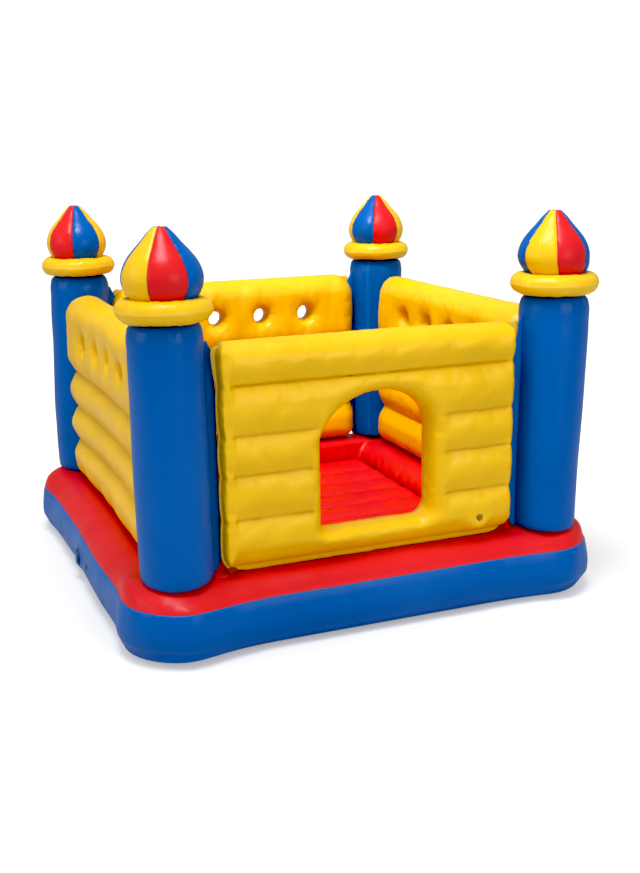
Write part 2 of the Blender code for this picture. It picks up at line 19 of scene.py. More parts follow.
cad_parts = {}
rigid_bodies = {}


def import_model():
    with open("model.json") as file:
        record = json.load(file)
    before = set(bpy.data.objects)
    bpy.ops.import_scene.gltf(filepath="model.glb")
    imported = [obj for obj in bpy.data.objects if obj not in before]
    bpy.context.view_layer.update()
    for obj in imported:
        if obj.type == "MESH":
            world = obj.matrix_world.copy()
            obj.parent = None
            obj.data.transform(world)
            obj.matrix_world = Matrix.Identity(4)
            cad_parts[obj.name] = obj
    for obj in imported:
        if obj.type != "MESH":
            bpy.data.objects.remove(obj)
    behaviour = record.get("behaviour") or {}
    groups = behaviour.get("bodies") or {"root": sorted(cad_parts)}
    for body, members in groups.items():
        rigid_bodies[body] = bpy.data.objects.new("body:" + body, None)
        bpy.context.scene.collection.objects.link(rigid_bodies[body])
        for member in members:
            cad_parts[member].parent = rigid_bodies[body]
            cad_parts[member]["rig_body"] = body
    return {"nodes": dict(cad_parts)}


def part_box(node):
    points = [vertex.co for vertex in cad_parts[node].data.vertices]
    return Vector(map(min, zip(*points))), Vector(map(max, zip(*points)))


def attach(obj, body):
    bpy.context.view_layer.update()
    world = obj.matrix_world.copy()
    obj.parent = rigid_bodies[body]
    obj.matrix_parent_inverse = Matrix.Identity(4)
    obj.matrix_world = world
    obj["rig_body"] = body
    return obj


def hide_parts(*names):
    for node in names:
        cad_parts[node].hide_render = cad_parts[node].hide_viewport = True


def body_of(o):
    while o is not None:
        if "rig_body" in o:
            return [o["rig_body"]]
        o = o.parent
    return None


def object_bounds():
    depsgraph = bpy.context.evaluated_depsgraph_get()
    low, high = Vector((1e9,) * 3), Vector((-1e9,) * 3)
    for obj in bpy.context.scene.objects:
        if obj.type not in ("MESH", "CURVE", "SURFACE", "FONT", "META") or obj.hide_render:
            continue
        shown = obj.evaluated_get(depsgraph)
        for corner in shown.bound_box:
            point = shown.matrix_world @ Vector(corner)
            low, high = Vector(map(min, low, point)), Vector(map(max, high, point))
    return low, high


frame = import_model()
CAD_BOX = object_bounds()
ROOT = "bouncer"
scene = bpy.context.scene

# ---------------------------------------------------------------- places, read from the frame


def box(node):
    low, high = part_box(node)
    return np.array(low[:], float), np.array(high[:], float)


def read_tower(place):
    low, high = box("tower_" + place)
    collar_low, collar_high = box("collar_" + place)
    return SimpleNamespace(
        x=(low[0] + high[0]) / 2,
        y=(low[1] + high[1]) / 2,
        radius=(high[0] - low[0]) / 2,
        foot=low[2],
        top=high[2],
        collar_low=collar_low[2],
        collar_high=collar_high[2],
        collar_radius=(collar_high[0] - collar_low[0]) / 2,
    )


PLACES = ("front_left", "front_right", "back_left", "back_right")
TOWERS = {place: read_tower(place) for place in PLACES}
TOWER_X, TOWER_Y = abs(TOWERS["front_left"].x), abs(TOWERS["front_left"].y)
TOWER_R = TOWERS["front_left"].radius
DOME_TOP = CAD_BOX[1][2]
SEAM_Z = box("base_lower_skin")[1][2]
RING_TOP = box("base_upper_skin")[1][2]
FLOOR_X, FLOOR_Y, FLOOR_TOP = box("floor_top_sheet")[1]

SOCKET_RIM = 0.0022                 # how far the valve socket stands out from the base's side
BASE_X = -(box("base_valve_socket")[0][0] + SOCKET_RIM)     # half sizes of the base ring
BASE_Y = BASE_X - 0.013
BASE_CORNER = 0.225


def on_left_side(node):
    """The place of a valve piece on the base's left face."""
    low, high = box(node)
    return np.array([-BASE_X, *((low + high) / 2)[1:]])


VALVE = on_left_side("base_valve_socket")
SMALL_VALVE = on_left_side("base_small_valve_patch")
patch_low, patch_high = box("wall_valve_patch")
WALL_VALVE = (patch_low + patch_high) / 2
WALL_VALVE[1] = patch_high[1]

# ---------------------------------------------------------------- small maths


def smooth(start, end, value):
    """0 at start, 1 at end, eased; start may lie above end."""
    share = np.clip((np.asarray(value, float) - start) / (end - start), 0.0, 1.0)
    return share * share * (3 - 2 * share)


def smooth_min(first, second, blend):
    share = np.clip(0.5 + 0.5 * (second - first) / blend, 0.0, 1.0)
    return second * (1 - share) + first * share - blend * share * (1 - share)


def bell(distance, width):
    return np.exp(-((distance / width) ** 2))


def fade(distance, reach):
    return np.exp(-distance / reach)


def hermite(stations, values, at):
    """A smooth curve through values at their stations."""
    slope = np.gradient(values, stations)
    i = np.clip(np.searchsorted(stations, at) - 1, 0, len(stations) - 2)
    gap = stations[i + 1] - stations[i]
    share = (at - stations[i]) / gap
    return (
        (2 * share**3 - 3 * share**2 + 1) * values[i]
        + (share**3 - 2 * share**2 + share) * gap * slope[i]
        + (-2 * share**3 + 3 * share**2) * values[i + 1]
        + (share**3 - share**2) * gap * slope[i + 1]
    )


def loft_profile(points, count):
    """A smooth curve through (radius, z) points, evenly spaced along its length."""
    points = np.array(points, float)
    steps = np.linalg.norm(np.diff(points, axis=0), axis=1)
    length = np.concatenate([[0], np.cumsum(steps)])
    at = np.linspace(0, length[-1], count)
    return np.stack([hermite(length, points[:, column], at) for column in (0, 1)], -1)


def around(centre_x, centre_y, radius, angle, z):
    """Points at a radius, angle and height round an upright axis."""
    x = centre_x + radius * np.cos(angle)
    y = centre_y + radius * np.sin(angle)
    return np.stack(np.broadcast_arrays(x, y, z), -1)


class Waves:
    """Smooth, repeatable noise: a sum of sine waves of random direction, stretched by scale."""

    def __init__(self, seed, wavelength, stretch=(1, 1, 1), count=28, spread=0.45):
        rng = np.random.default_rng(seed)
        way = rng.normal(size=(count, 3))
        way /= np.linalg.norm(way, axis=1)[:, None]
        size = 2 * math.pi / (wavelength * np.exp(rng.normal(size=count) * spread))
        self.vectors = way * size[:, None] / np.array(stretch, float)
        self.phase = rng.uniform(0, 2 * math.pi, count)
        self.gain = math.sqrt(2.0 / count)

    def __call__(self, points):
        points = np.asarray(points, float)
        flat = points.reshape(-1, 3)
        out = np.empty(len(flat))
        chunk = 60000
        for i in range(0, len(flat), chunk):
            angle = flat[i : i + chunk] @ self.vectors.T + self.phase
            out[i : i + chunk] = np.sin(angle).sum(axis=1)
        return (out * self.gain).reshape(points.shape[:-1])


# ---------------------------------------------------------------- meshes


def make_object(name, verts, faces, mat, attrs):
    """A smooth-shaded mesh object with one float attribute per entry of attrs."""
    mesh = bpy.data.meshes.new(name)
    verts = np.asarray(verts, float).reshape(-1, 3)
    mesh.from_pydata(verts.tolist(), [], [list(map(int, face)) for face in faces])
    mesh.materials.append(mat)
    for key, values in attrs.items():
        layer = mesh.attributes.new(key, "FLOAT", "POINT")
        layer.data.foreach_set("value", np.asarray(values, np.float32).ravel())
    mesh.update()
    obj = bpy.data.objects.new(name, mesh)
    scene.collection.objects.link(obj)
    mesh.shade_smooth()
    return obj


def grid_faces(rows, cols, wrap_cols=True, wrap_rows=False):
    """Quads of a rows x cols lattice; (row direction) x (column direction) points out."""
    row, col = np.meshgrid(
        np.arange(rows if wrap_rows else rows - 1),
        np.arange(cols if wrap_cols else cols - 1),
        indexing="ij",
    )
    next_row, next_col = (row + 1) % rows, (col + 1) % cols
    corners = [(row, col), (next_row, col), (next_row, next_col), (row, next_col)]
    return np.stack([r * cols + c for r, c in corners], -1).reshape(-1, 4)


def read_vectors(mesh, field):
    values = np.empty(len(mesh.vertices) * 3, np.float32)
    mesh.vertices.foreach_get(field, values)
    return values.reshape(-1, 3)


def verts_of(obj):
    return read_vectors(obj.data, "co").astype(float)


def normals_of(obj):
    return read_vectors(obj.data, "normal").astype(float)


def set_verts(obj, points):
    obj.data.vertices.foreach_set("co", np.asarray(points, np.float32).ravel())
    obj.data.update()


def outward(obj):
    """Turns the faces out, by the sign of the closed mesh's volume."""
    bm = bmesh.new()
    bm.from_mesh(obj.data)
    bmesh.ops.recalc_face_normals(bm, faces=bm.faces)
    if bm.calc_volume(signed=True) < 0:
        bmesh.ops.reverse_faces(bm, faces=bm.faces)
    bm.to_mesh(obj.data)
    bm.free()
    obj.data.update()


def solidify(obj, thickness, offset=-1.0):
    mod = obj.modifiers.new("sheet", "SOLIDIFY")
    mod.thickness = thickness
    mod.offset = offset


def surface_net(field, low, high, step):
    """The surface of field(points) = 0 (negative inside) as quads: one point in each cell that
    the surface crosses, then moved on to the surface along the field's gradient."""
    axes = [np.arange(start, stop + step, step) for start, stop in zip(low, high)]
    grid = np.stack(np.meshgrid(*axes, indexing="ij"), -1)
    value = field(grid)
    inside = value < 0
    cells = np.array(value.shape) - 1
    total = np.zeros((*cells, 3))
    count = np.zeros(cells)
    crossings = []
    for axis in range(3):
        near = tuple(slice(0, -1) if i == axis else slice(None) for i in range(3))
        far = tuple(slice(1, None) if i == axis else slice(None) for i in range(3))
        before, after = value[near], value[far]
        crossing = inside[near] != inside[far]
        share = np.where(crossing, before / np.where(before == after, 1, before - after), 0)
        point = grid[near] + share[..., None] * (np.eye(3)[axis] * step)
        others = [i for i in range(3) if i != axis]
        for shifts in itertools.product((0, 1), repeat=2):
            part = [slice(None)] * 3
            for other, shift in zip(others, shifts):
                part[other] = slice(shift, shift + cells[other])
            part = tuple(part)
            total += point[part] * crossing[part][..., None]
            count += crossing[part]
        crossings.append(crossing)
    used = count > 0
    index = np.full(cells, -1)
    index[used] = np.arange(used.sum())
    points = total[used] / count[used][:, None]

    # each crossed lattice edge gives a quad between the four cells round it
    faces = []
    for axis, crossing in enumerate(crossings):
        side, rise = [(1, 2), (2, 0), (0, 1)][axis]
        where = np.argwhere(crossing)
        keep = (where[:, side] > 0) & (where[:, rise] > 0)
        keep &= (where[:, side] < cells[side]) & (where[:, rise] < cells[rise])
        where = where[keep]
        corners = []
        for side_step, rise_step in ((0, 0), (1, 0), (1, 1), (0, 1)):
            cell = where.copy()
            cell[:, side] -= 1 - side_step
            cell[:, rise] -= 1 - rise_step
            corners.append(index[tuple(cell.T)])
        quad = np.stack(corners, -1)
        starts_inside = inside[tuple(where.T)]
        quad[~starts_inside] = quad[~starts_inside][:, ::-1]
        faces.append(quad)
    faces = np.concatenate(faces)
    faces = faces[(faces >= 0).all(axis=1)]

    probe = step * 0.05
    for _ in range(4):
        value = field(points)
        slope = np.stack(
            [(field(points + way * probe) - field(points - way * probe)) / (2 * probe)
             for way in np.eye(3)],
            -1,
        )
        move = value[:, None] * slope / np.maximum((slope**2).sum(axis=1), 1e-12)[:, None]
        size = np.linalg.norm(move, axis=1)[:, None]
        points -= move * np.minimum(1.0, 0.5 * step / np.maximum(size, 1e-12))
    return points, faces


def dent(obj, centre, axis, radius, depth, lap, ring=0.0):
    """Presses a pocket into a skin round a valve, after refining the mesh there. lap is the
    slope's width as a share of the radius, ring the height of a raised rim."""
    bm = bmesh.new()
    bm.from_mesh(obj.data)
    axis = Vector(axis).normalized()
    centre = Vector(centre)
    reach = 0.05                    # only skin this near along the axis is moved
    rim = radius * (1 + lap)

    def offset(vert):
        off = vert.co - centre
        along = off.dot(axis)
        return along, (off - axis * along).length

    def is_near(vert):
        along, away = offset(vert)
        return away < radius * 2.2 and abs(along) < reach

    for _ in range(2):
        near = [edge for edge in bm.edges if all(is_near(vert) for vert in edge.verts)]
        bmesh.ops.subdivide_edges(bm, edges=near, cuts=1, use_grid_fill=True, smooth=0.0)
    for vert in bm.verts:
        along, away = offset(vert)
        if abs(along) > reach or away > rim * 2:
            continue
        # the skin lies flat under the valve's rim
        vert.co -= axis * (along * float(smooth(rim * 1.9, rim, away)))
        if ring:
            vert.co += axis * (ring * float(bell(away - rim * 1.45, radius * 0.35)))
        vert.co -= axis * (depth * (1 - float(smooth(radius, rim, away))))
    bm.to_mesh(obj.data)
    bm.free()
    obj.data.update()
    obj.data.shade_smooth()


# ---------------------------------------------------------------- materials


class Nodes:
    """A new material with short calls for the shader nodes used here."""

    def __init__(self, name):
        self.mat = bpy.data.materials.new(name)
        self.mat.use_nodes = True
        self.tree = self.mat.node_tree
        self.inputs = self.tree.nodes["Principled BSDF"].inputs
        self.coord = self.tree.nodes.new("ShaderNodeTexCoord").outputs["Object"]

    def link(self, source, target):
        self.tree.links.new(source, target)

    def node(self, kind, **values):
        made = self.tree.nodes.new(kind)
        for key, value in values.items():
            setattr(made, key, value)
        return made

    def fill(self, slot, value):
        """Links a socket, or sets a number or an RGB colour."""
        if isinstance(value, (int, float)):
            slot.default_value = value
        elif isinstance(value, tuple):
            slot.default_value = (*value, 1.0)
        else:
            self.link(value, slot)

    def noise(self, scale, detail, rough=0.5, distortion=0.0):
        made = self.node("ShaderNodeTexNoise")
        made.inputs["Scale"].default_value = scale
        made.inputs["Detail"].default_value = detail
        made.inputs["Roughness"].default_value = rough
        made.inputs["Distortion"].default_value = distortion
        self.link(self.coord, made.inputs["Vector"])
        return made.outputs["Fac"]

    def ramp(self, value, span, to):
        """Maps span to the range to, clamped."""
        made = self.node("ShaderNodeMapRange")
        made.inputs["From Min"].default_value, made.inputs["From Max"].default_value = span
        made.inputs["To Min"].default_value, made.inputs["To Max"].default_value = to
        self.link(value, made.inputs["Value"])
        return made.outputs["Result"]

    def math(self, kind, first, second):
        made = self.node("ShaderNodeMath", operation=kind)
        for slot, value in zip(made.inputs, (first, second)):
            self.fill(slot, value)
        return made.outputs[0]

    def mix(self, factor, first, second):
        made = self.node("ShaderNodeMix", data_type="RGBA")
        for slot, value in ((0, factor), (6, first), (7, second)):
            self.fill(made.inputs[slot], value)
        return made.outputs[2]

    def attribute(self, name):
        return self.node("ShaderNodeAttribute", attribute_name=name).outputs["Fac"]

    def bump(self, height, strength, distance, normal=None):
        made = self.node("ShaderNodeBump")
        made.inputs["Strength"].default_value = strength
        made.inputs["Distance"].default_value = distance
        self.link(height, made.inputs["Height"])
        if normal is not None:
            self.link(normal, made.inputs["Normal"])
        return made.outputs["Normal"]


def vinyl(name, colour, fold_shade_colour, weld, rough=0.32):
    """Heavy soft PVC: even colour with a faint drift, a darker colour painted in as shade in
    the folds, paler and crimped along the heat welds, a soft gloss, slack dents and a fine
    calendered grain."""
    shader = Nodes(name)
    drift = shader.ramp(shader.noise(scale=2.2, detail=3.0), span=(0.3, 0.7), to=(0.0, 1.0))
    pale = tuple(min(1.0, channel * 1.03 + 0.004) for channel in colour)
    dark = tuple(channel * 0.93 for channel in colour)
    body = shader.mix(drift, dark, pale)
    # painted shade: a darker colour is mixed in by a per-point attribute where folds, seams and
    # contacts would be shaded
    fold_shade = shader.attribute("crease")
    body = shader.mix(shader.math("MULTIPLY", fold_shade, 0.75), body, fold_shade_colour)
    seam = shader.attribute("weld")
    body = shader.mix(shader.math("MULTIPLY", seam, 0.7), body, weld)
    shader.link(body, shader.inputs["Base Color"])
    smear = shader.noise(scale=7.0, detail=4.0)
    smear = shader.ramp(smear, span=(0.3, 0.7), to=(rough - 0.05, rough + 0.07))
    matt_seam = shader.math("MULTIPLY", seam, 0.12)
    shader.link(shader.math("ADD", smear, matt_seam), shader.inputs["Roughness"])
    # a bloom of fine dust takes the sheen away where the sheet is seen edge-on
    facing = shader.node("ShaderNodeLayerWeight").outputs["Facing"]
    sheen = shader.ramp(facing, span=(0.50, 0.90), to=(0.26, 0.03))
    shader.link(sheen, shader.inputs["Specular IOR Level"])
    shader.inputs["Coat Weight"].default_value = 0.05
    shader.inputs["Coat Roughness"].default_value = 0.18
    slack = shader.noise(scale=6.5, detail=2.0, rough=0.45, distortion=0.6)
    slack = shader.bump(slack, strength=0.10, distance=0.007)
    fine = shader.noise(scale=46.0, detail=3.0, rough=0.5, distortion=0.3)
    fine = shader.bump(fine, strength=0.05, distance=0.0012, normal=slack)
    grain = shader.noise(scale=900.0, detail=2.0, rough=0.6)
    grain = shader.bump(grain, strength=0.05, distance=0.0004, normal=fine)
    crimp = shader.node("ShaderNodeTexWave", wave_type="BANDS", bands_direction="DIAGONAL")
    crimp.inputs["Scale"].default_value = 170.0
    shader.link(shader.coord, crimp.inputs["Vector"])
    height = shader.math("MULTIPLY", crimp.outputs["Fac"], seam)
    crimped = shader.bump(height, strength=0.30, distance=0.0012, normal=grain)
    shader.link(crimped, shader.inputs["Normal"])
    return shader.mat


def moulded(name, colour, rough):
    """Moulded valve plastic: faint flow marks and a fine matt grain."""
    shader = Nodes(name)
    flow = shader.noise(scale=55.0, detail=4.0, rough=0.6, distortion=0.8)
    flow = shader.ramp(flow, span=(0.35, 0.65), to=(0.0, 1.0))
    dark = tuple(channel * 0.86 for channel in colour)
    pale = tuple(min(1, channel * 1.08) for channel in colour)
    shader.link(shader.mix(flow, dark, pale), shader.inputs["Base Color"])
    matt = shader.noise(scale=140.0, detail=3.0)
    matt = shader.ramp(matt, span=(0.3, 0.7), to=(rough - 0.06, rough + 0.08))
    shader.link(matt, shader.inputs["Roughness"])
    grain = shader.noise(scale=1400.0, detail=2.0)
    grain = shader.bump(grain, strength=0.06, distance=0.0003)
    shader.link(grain, shader.inputs["Normal"])
    return shader.mat


# each sheet: its own colour, a darker colour for the painted shade in folds, and its paler weld
# colour
YELLOW = vinyl(
    "yellow_vinyl_sheet",
    colour=(0.840, 0.505, 0.014), fold_shade_colour=(0.50, 0.20, 0.01), weld=(0.88, 0.62, 0.12),
)
RED = vinyl(
    "red_vinyl_sheet",
    colour=(0.660, 0.016, 0.020), fold_shade_colour=(0.34, 0.004, 0.010), weld=(0.78, 0.04, 0.04), rough=0.36,
)
BLUE = vinyl(
    "blue_vinyl_sheet",
    colour=(0.001, 0.101, 0.405), fold_shade_colour=(0.002, 0.035, 0.200), weld=(0.012, 0.16, 0.52),
)
SHEET = {"yellow": YELLOW, "red": RED, "blue": BLUE}
VALVE_BLUE = moulded("valve_moulded_blue", colour=(0.006, 0.045, 0.200), rough=0.34)
VALVE_SOFT = moulded("valve_soft_plastic", colour=(0.10, 0.20, 0.48), rough=0.30)
VALVE_AMBER = moulded("valve_soft_amber", colour=(0.30, 0.15, 0.015), rough=0.34)

# ---------------------------------------------------------------- base ring

# the ring's section: station (0 under the base, 1 at the seam, 2 at the floor's edge),
# inset from the base's outline, height
RING_SECTION = np.array(
    [
        (0.00, 0.300, 0.0000), (0.14, 0.120, 0.0000), (0.24, 0.066, 0.0012),
        (0.34, 0.037, 0.0110), (0.46, 0.015, 0.0340), (0.58, 0.003, 0.0660),
        (0.70, 0.000, 0.0980), (0.82, 0.003, 0.1300), (0.92, 0.0085, 0.1560),
        (1.00, 0.0165, SEAM_Z - 0.0002), (1.08, 0.0290, 0.1970), (1.18, 0.0500, 0.2170),
        (1.28, 0.0790, 0.2320), (1.38, 0.1130, 0.2390), (1.50, 0.1600, 0.2395),
        (1.60, 0.2100, 0.2365), (1.68, 0.2420, 0.2290), (1.76, 0.2680, 0.2140),
        (1.84, 0.2860, 0.1930), (1.92, 0.3000, 0.1690), (2.00, 0.3090, 0.1420),
    ]
)
CREST_INSET, INNER_INSET = 0.13, 0.309
# three of the base's corners: x side, y side, shift in x, shift in y, fullness of the foot
CORNER_SHIFTS = (
    (-1, -1, 0.024, -0.036, 0.018),
    (1, -1, -0.024, -0.008, 0.010),
    (-1, 1, 0.004, 0.006, 0.008),
)
OUTLINE_SHARES = np.linspace(0, 1, 460, endpoint=False)


def outline(half_x, half_y, corner, shares):
    """Point and outward normal on a rounded rectangle; shares run from 0 to 1 anticlockwise
    from (+x, 0)."""
    flat_x, flat_y = half_x - corner, half_y - corner
    arc = math.pi * corner / 2
    lengths = [flat_y, arc, 2 * flat_x, arc, 2 * flat_y, arc, 2 * flat_x, arc, flat_y]
    # the straight runs, by their place in lengths: first point and direction
    straights = {
        0: ((half_x, 0), (0, 1)),
        2: ((flat_x, half_y), (-1, 0)),
        4: ((-half_x, flat_y), (0, -1)),
        6: ((-flat_x, -half_y), (1, 0)),
        8: ((half_x, -flat_y), (0, 1)),
    }
    centres = [(flat_x, flat_y), (-flat_x, flat_y), (-flat_x, -flat_y), (flat_x, -flat_y)]
    travelled = np.mod(shares, 1.0) * sum(lengths)
    points = np.zeros((*np.shape(shares), 2))
    normals = np.zeros((*np.shape(shares), 2))
    start = 0.0
    for i, length in enumerate(lengths):
        here = (travelled >= start) & (travelled <= start + length)
        along = travelled[here] - start
        if i in straights:
            first, way = straights[i]
            normals[here] = (way[1], -way[0])
            points[here] = np.array(first) + along[:, None] * np.array(way)
        else:
            quarter = i // 2
            angle = quarter * math.pi / 2 + along / corner
            normals[here] = np.stack([np.cos(angle), np.sin(angle)], -1)
            points[here] = np.array(centres[quarter]) + corner * normals[here]
        start += length
    return points, normals


def corner_share(x, y):
    """1 at the base's corners, 0 along the middle of its sides."""
    return smooth(0.60, 0.86, np.minimum(np.abs(x) / BASE_X, np.abs(y) / BASE_Y))


def ring_section(station):
    """(inset, height) of the ring's section at a station."""
    stations, insets, heights = RING_SECTION.T
    inset = hermite(stations, insets, station)
    return inset, np.maximum(hermite(stations, heights, station), 0.0)


def corner_rise(share, inset, level=1.0):
    """How much the ring's top stands higher at the corners."""
    full = 0.0045 * share * level * (1 - smooth(0.11, 0.26, inset))
    return full, 0.0160 * share * bell(inset - 0.060, 0.030)


def ring_points(stations):
    """Points of the ring's skin: rows run with the section, columns round the outline."""
    shares, station = np.meshgrid(OUTLINE_SHARES, stations)
    inset, z = ring_section(station)
    base, normal = outline(BASE_X, BASE_Y, BASE_CORNER, shares)
    inner, _ = outline(FLOOR_X + 0.004, FLOOR_Y + 0.004, 0.030, shares)
    corner = corner_share(base[..., 0], base[..., 1])
    plan = base - normal * inset[..., None]
    # inside the crest the path runs on to the floor's own outline
    blend = smooth(CREST_INSET, INNER_INSET, inset)[..., None]
    crest = base - normal * CREST_INSET
    share_in = ((inset - CREST_INSET) / (INNER_INSET - CREST_INSET))[..., None]
    straight = crest + (inner - crest) * share_in
    plan = plan * (1 - blend) + straight * blend
    # puffed corners, and a slight waist beside them
    side = smooth(0.02, 0.10, z) * (1 - smooth(0.20, 0.24, z)) + 0.35 * (z <= 0.1)
    side = np.clip(side, 0, 1) * (1 - smooth(0.10, 0.25, inset))
    along = np.minimum(np.abs(base[..., 0]) / BASE_X, np.abs(base[..., 1]) / BASE_Y)
    waist = bell(along - 0.50, 0.10)
    plan = plan + normal * (0.0260 * corner * side - 0.0035 * waist * side)[..., None]
    full, _ = corner_rise(corner, inset, smooth(0.10, 0.2, z))
    z = z + full
    _, crown = corner_rise(corner, inset)
    z = z + crown * (z > 0.15)
    # the middle of each side lifts a little off the ground between the corners
    lift = (1 - smooth(0.30, 0.75, along)) * (1 - smooth(0.0, 0.10, z))
    z = z + 0.002 * lift * smooth(0.12, 0.03, inset)
    # corners differ a little: how far they shift, and how full their feet are
    level = smooth(-0.004, 0.030, z) * (1 - smooth(0.185, 0.236, z))
    level = level * (1 - smooth(0.06, 0.20, inset))
    foot_level = bell(z - 0.022, 0.026) * smooth(0.24, 0.05, inset)
    for side_x, side_y, shift_x, shift_y, fullness in CORNER_SHIFTS:
        near_x, near_y = side_x * base[..., 0] / BASE_X, side_y * base[..., 1] / BASE_Y
        push = smooth(0.35, 0.92, near_x) * smooth(0.35, 0.92, near_y) * level
        plan = plan + push[..., None] * np.array([shift_x, shift_y])
        puff = fullness * foot_level * smooth(0.5, 0.9, near_x) * smooth(0.5, 0.9, near_y)
        plan = plan + normal * puff[..., None]
    return np.concatenate([plan, z[..., None]], -1)


def ring_skin(name, stations, mat, closed_foot):
    points = ring_points(stations)
    rows, cols = points.shape[:2]
    verts = points.reshape(-1, 3)
    faces = grid_faces(rows, cols)[:, ::-1].tolist()
    station = np.repeat(stations, cols)
    if closed_foot:
        hub = len(verts)
        verts = np.vstack([verts, [[0.0, 0.0, 0.0]]])
        faces += [[hub, (i + 1) % cols, i] for i in range(cols)]
        station = np.append(station, 0.0)
    from_seam = np.abs(station - 1.0)
    # painted shade darkens the red skin's inner edge, where it meets the floor
    attrs = {"weld": bell(from_seam, 0.012), "crease": smooth(1.90, 2.0, station) * 0.8}
    obj = make_object(name, verts, faces, mat, attrs)
    points, normals = verts_of(obj), normals_of(obj)
    share = corner_share(points[:, 0], points[:, 1])
    # puckers across the seam, stronger where the corner gathers the sheet
    ripple = Waves(21, 0.034, (1, 1, 4.0), 40)(points)
    amount = 0.0009 * ripple * fade(from_seam, 0.10) * (0.35 + share)
    slack = Waves(12, 0.22, count=24)(points)
    amount += 0.0022 * slack * (0.3 + 0.7 * share) * smooth(0.02, 0.06, points[:, 2])
    inner = Waves(23, 0.05, (1, 1, 3.0), 30)(points)
    amount += 0.0020 * inner * smooth(1.72, 1.95, station)
    set_verts(obj, points + normals * amount[:, None])
    return obj


def ring_height(x, y):
    """Height of the ring's top at plan points, by its distance from the base's outline."""
    past = np.stack(
        [np.abs(x) - (BASE_X - BASE_CORNER), np.abs(y) - (BASE_Y - BASE_CORNER)], -1
    )
    outside = np.linalg.norm(np.maximum(past, 0), axis=-1) + np.minimum(past.max(axis=-1), 0)
    distance = BASE_CORNER - outside
    inset, z = ring_section(np.linspace(1.0, 2.0, 200))
    full, crown = corner_rise(corner_share(x, y), distance)
    return np.interp(distance, inset, z) + full + crown


base_blue = ring_skin("base_blue_skin", np.linspace(0.0, 1.0, 54), BLUE, closed_foot=True)
base_red = ring_skin("base_red_skin", np.linspace(1.0, 2.0, 66), RED, closed_foot=False)
dent(base_blue, VALVE, (-1, 0, 0), radius=0.0252, depth=0.031, lap=0.16)
dent(base_blue, SMALL_VALVE, (-1, 0, 0), radius=0.0066, depth=0.021, lap=0.45)
for skin in (base_blue, base_red):
    solidify(skin, 0.0006)
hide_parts("base_lower_skin")
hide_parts("base_upper_skin")

# ---------------------------------------------------------------- floor
FLOOR_EDGE_Z = 0.138                # height of the sheet at its left and right edges
BEAMS = sorted(
    float((box(node)[0][1] + box(node)[1][1]) / 2)
    for node in frame["nodes"]
    if node.startswith("floor_beam_")
)


def floor_mesh():
    """A sheet of round ribs along X, with a welded valley over each beam."""
    columns = np.linspace(-FLOOR_X, FLOOR_X, 150)
    lines = [-FLOOR_Y, *BEAMS, FLOOR_Y]
    ribs = list(zip(lines, lines[1:]))
    rows = []
    eased = 0.5 - 0.5 * np.cos(np.pi * np.linspace(0, 1, 19)[:-1])
    for start, end in ribs:
        rows.extend(start + (end - start) * eased)
    rows = np.array([*rows, FLOOR_Y])
    y, x = np.meshgrid(rows, columns, indexing="ij")
    valley = FLOOR_TOP - 0.019
    z = np.zeros_like(y)
    for start, end in ribs:
        here = (y >= start - 1e-9) & (y <= end + 1e-9)
        share = (y[here] - start) / (end - start)
        arch = np.sqrt(np.clip(1 - (2 * share - 1) ** 2, 0, 1)) ** 0.85
        z[here] = valley + (FLOOR_TOP - valley) * arch
    nearest = np.min(np.abs(y[..., None] - np.array(BEAMS)), axis=-1)
    edge = np.minimum(FLOOR_X - np.abs(x), FLOOR_Y - np.abs(y))
    rounding = np.clip((FLOOR_X - np.abs(x)) / 0.045, 0, 1)
    side = np.sqrt(np.clip(1 - (1 - rounding) ** 2, 0, 1))
    z = (z - FLOOR_EDGE_Z) * side + FLOOR_EDGE_Z
    points = np.stack([x, y, z], -1)
    ripple = Waves(31, 0.040, (1.0, 3.5, 1), 40)(points)
    points[..., 2] += 0.0005 * ripple * fade(nearest, 0.022) * smooth(0.0, 0.05, edge)
    points[..., 2] += 0.0009 * Waves(32, 0.16, (1, 1, 1), 24)(points) * smooth(0.0, 0.06, edge)
    attrs = {
        # the valleys over the beams are paler: a real weld line, and also a painted highlight for
        # the bright lines along the grooves
        "weld": bell(nearest, 0.0035) * 0.9,
        # painted shade darkens the sheet along its edges, where it meets the ring
        "crease": np.clip(1 - edge / 0.02, 0, 1) * 0.4,
    }
    faces = grid_faces(len(rows), len(columns), wrap_cols=False)[:, ::-1]
    return make_object("floor_ribbed_sheet", points, faces, RED, attrs)


floor_top = floor_mesh()
solidify(floor_top, 0.0006)
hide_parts("floor_top_sheet")

# ---------------------------------------------------------------- towers, collars, domes
# each place's own girth: the tower near its foot, and the dome
FOOT_GIRTH = dict(zip(PLACES, (1.012, 0.972, 0.985, 0.985)))
DOME_GIRTH = dict(zip(PLACES, (1.0, 0.965, 0.960, 0.985)))
# the dome's outline from its tip down: radius, height
DOME_OUTLINE = (
    (0.0010, 1.3485), (0.0130, 1.3500), (0.0205, 1.3490), (0.0268, 1.3430), (0.0390, 1.3305),
    (0.0610, 1.3040), (0.0860, 1.2770), (0.1040, 1.2540), (0.1160, 1.2300), (0.1218, 1.2060),
    (0.1200, 1.1820), (0.1115, 1.1600), (0.1010, 1.1440), (0.0900, 1.1300), (0.0740, 1.1180),
)
# heights in that outline of the dome's top and of its seat in the collar
OUTLINE_TOP, OUTLINE_SEAT = 1.350, 1.1415


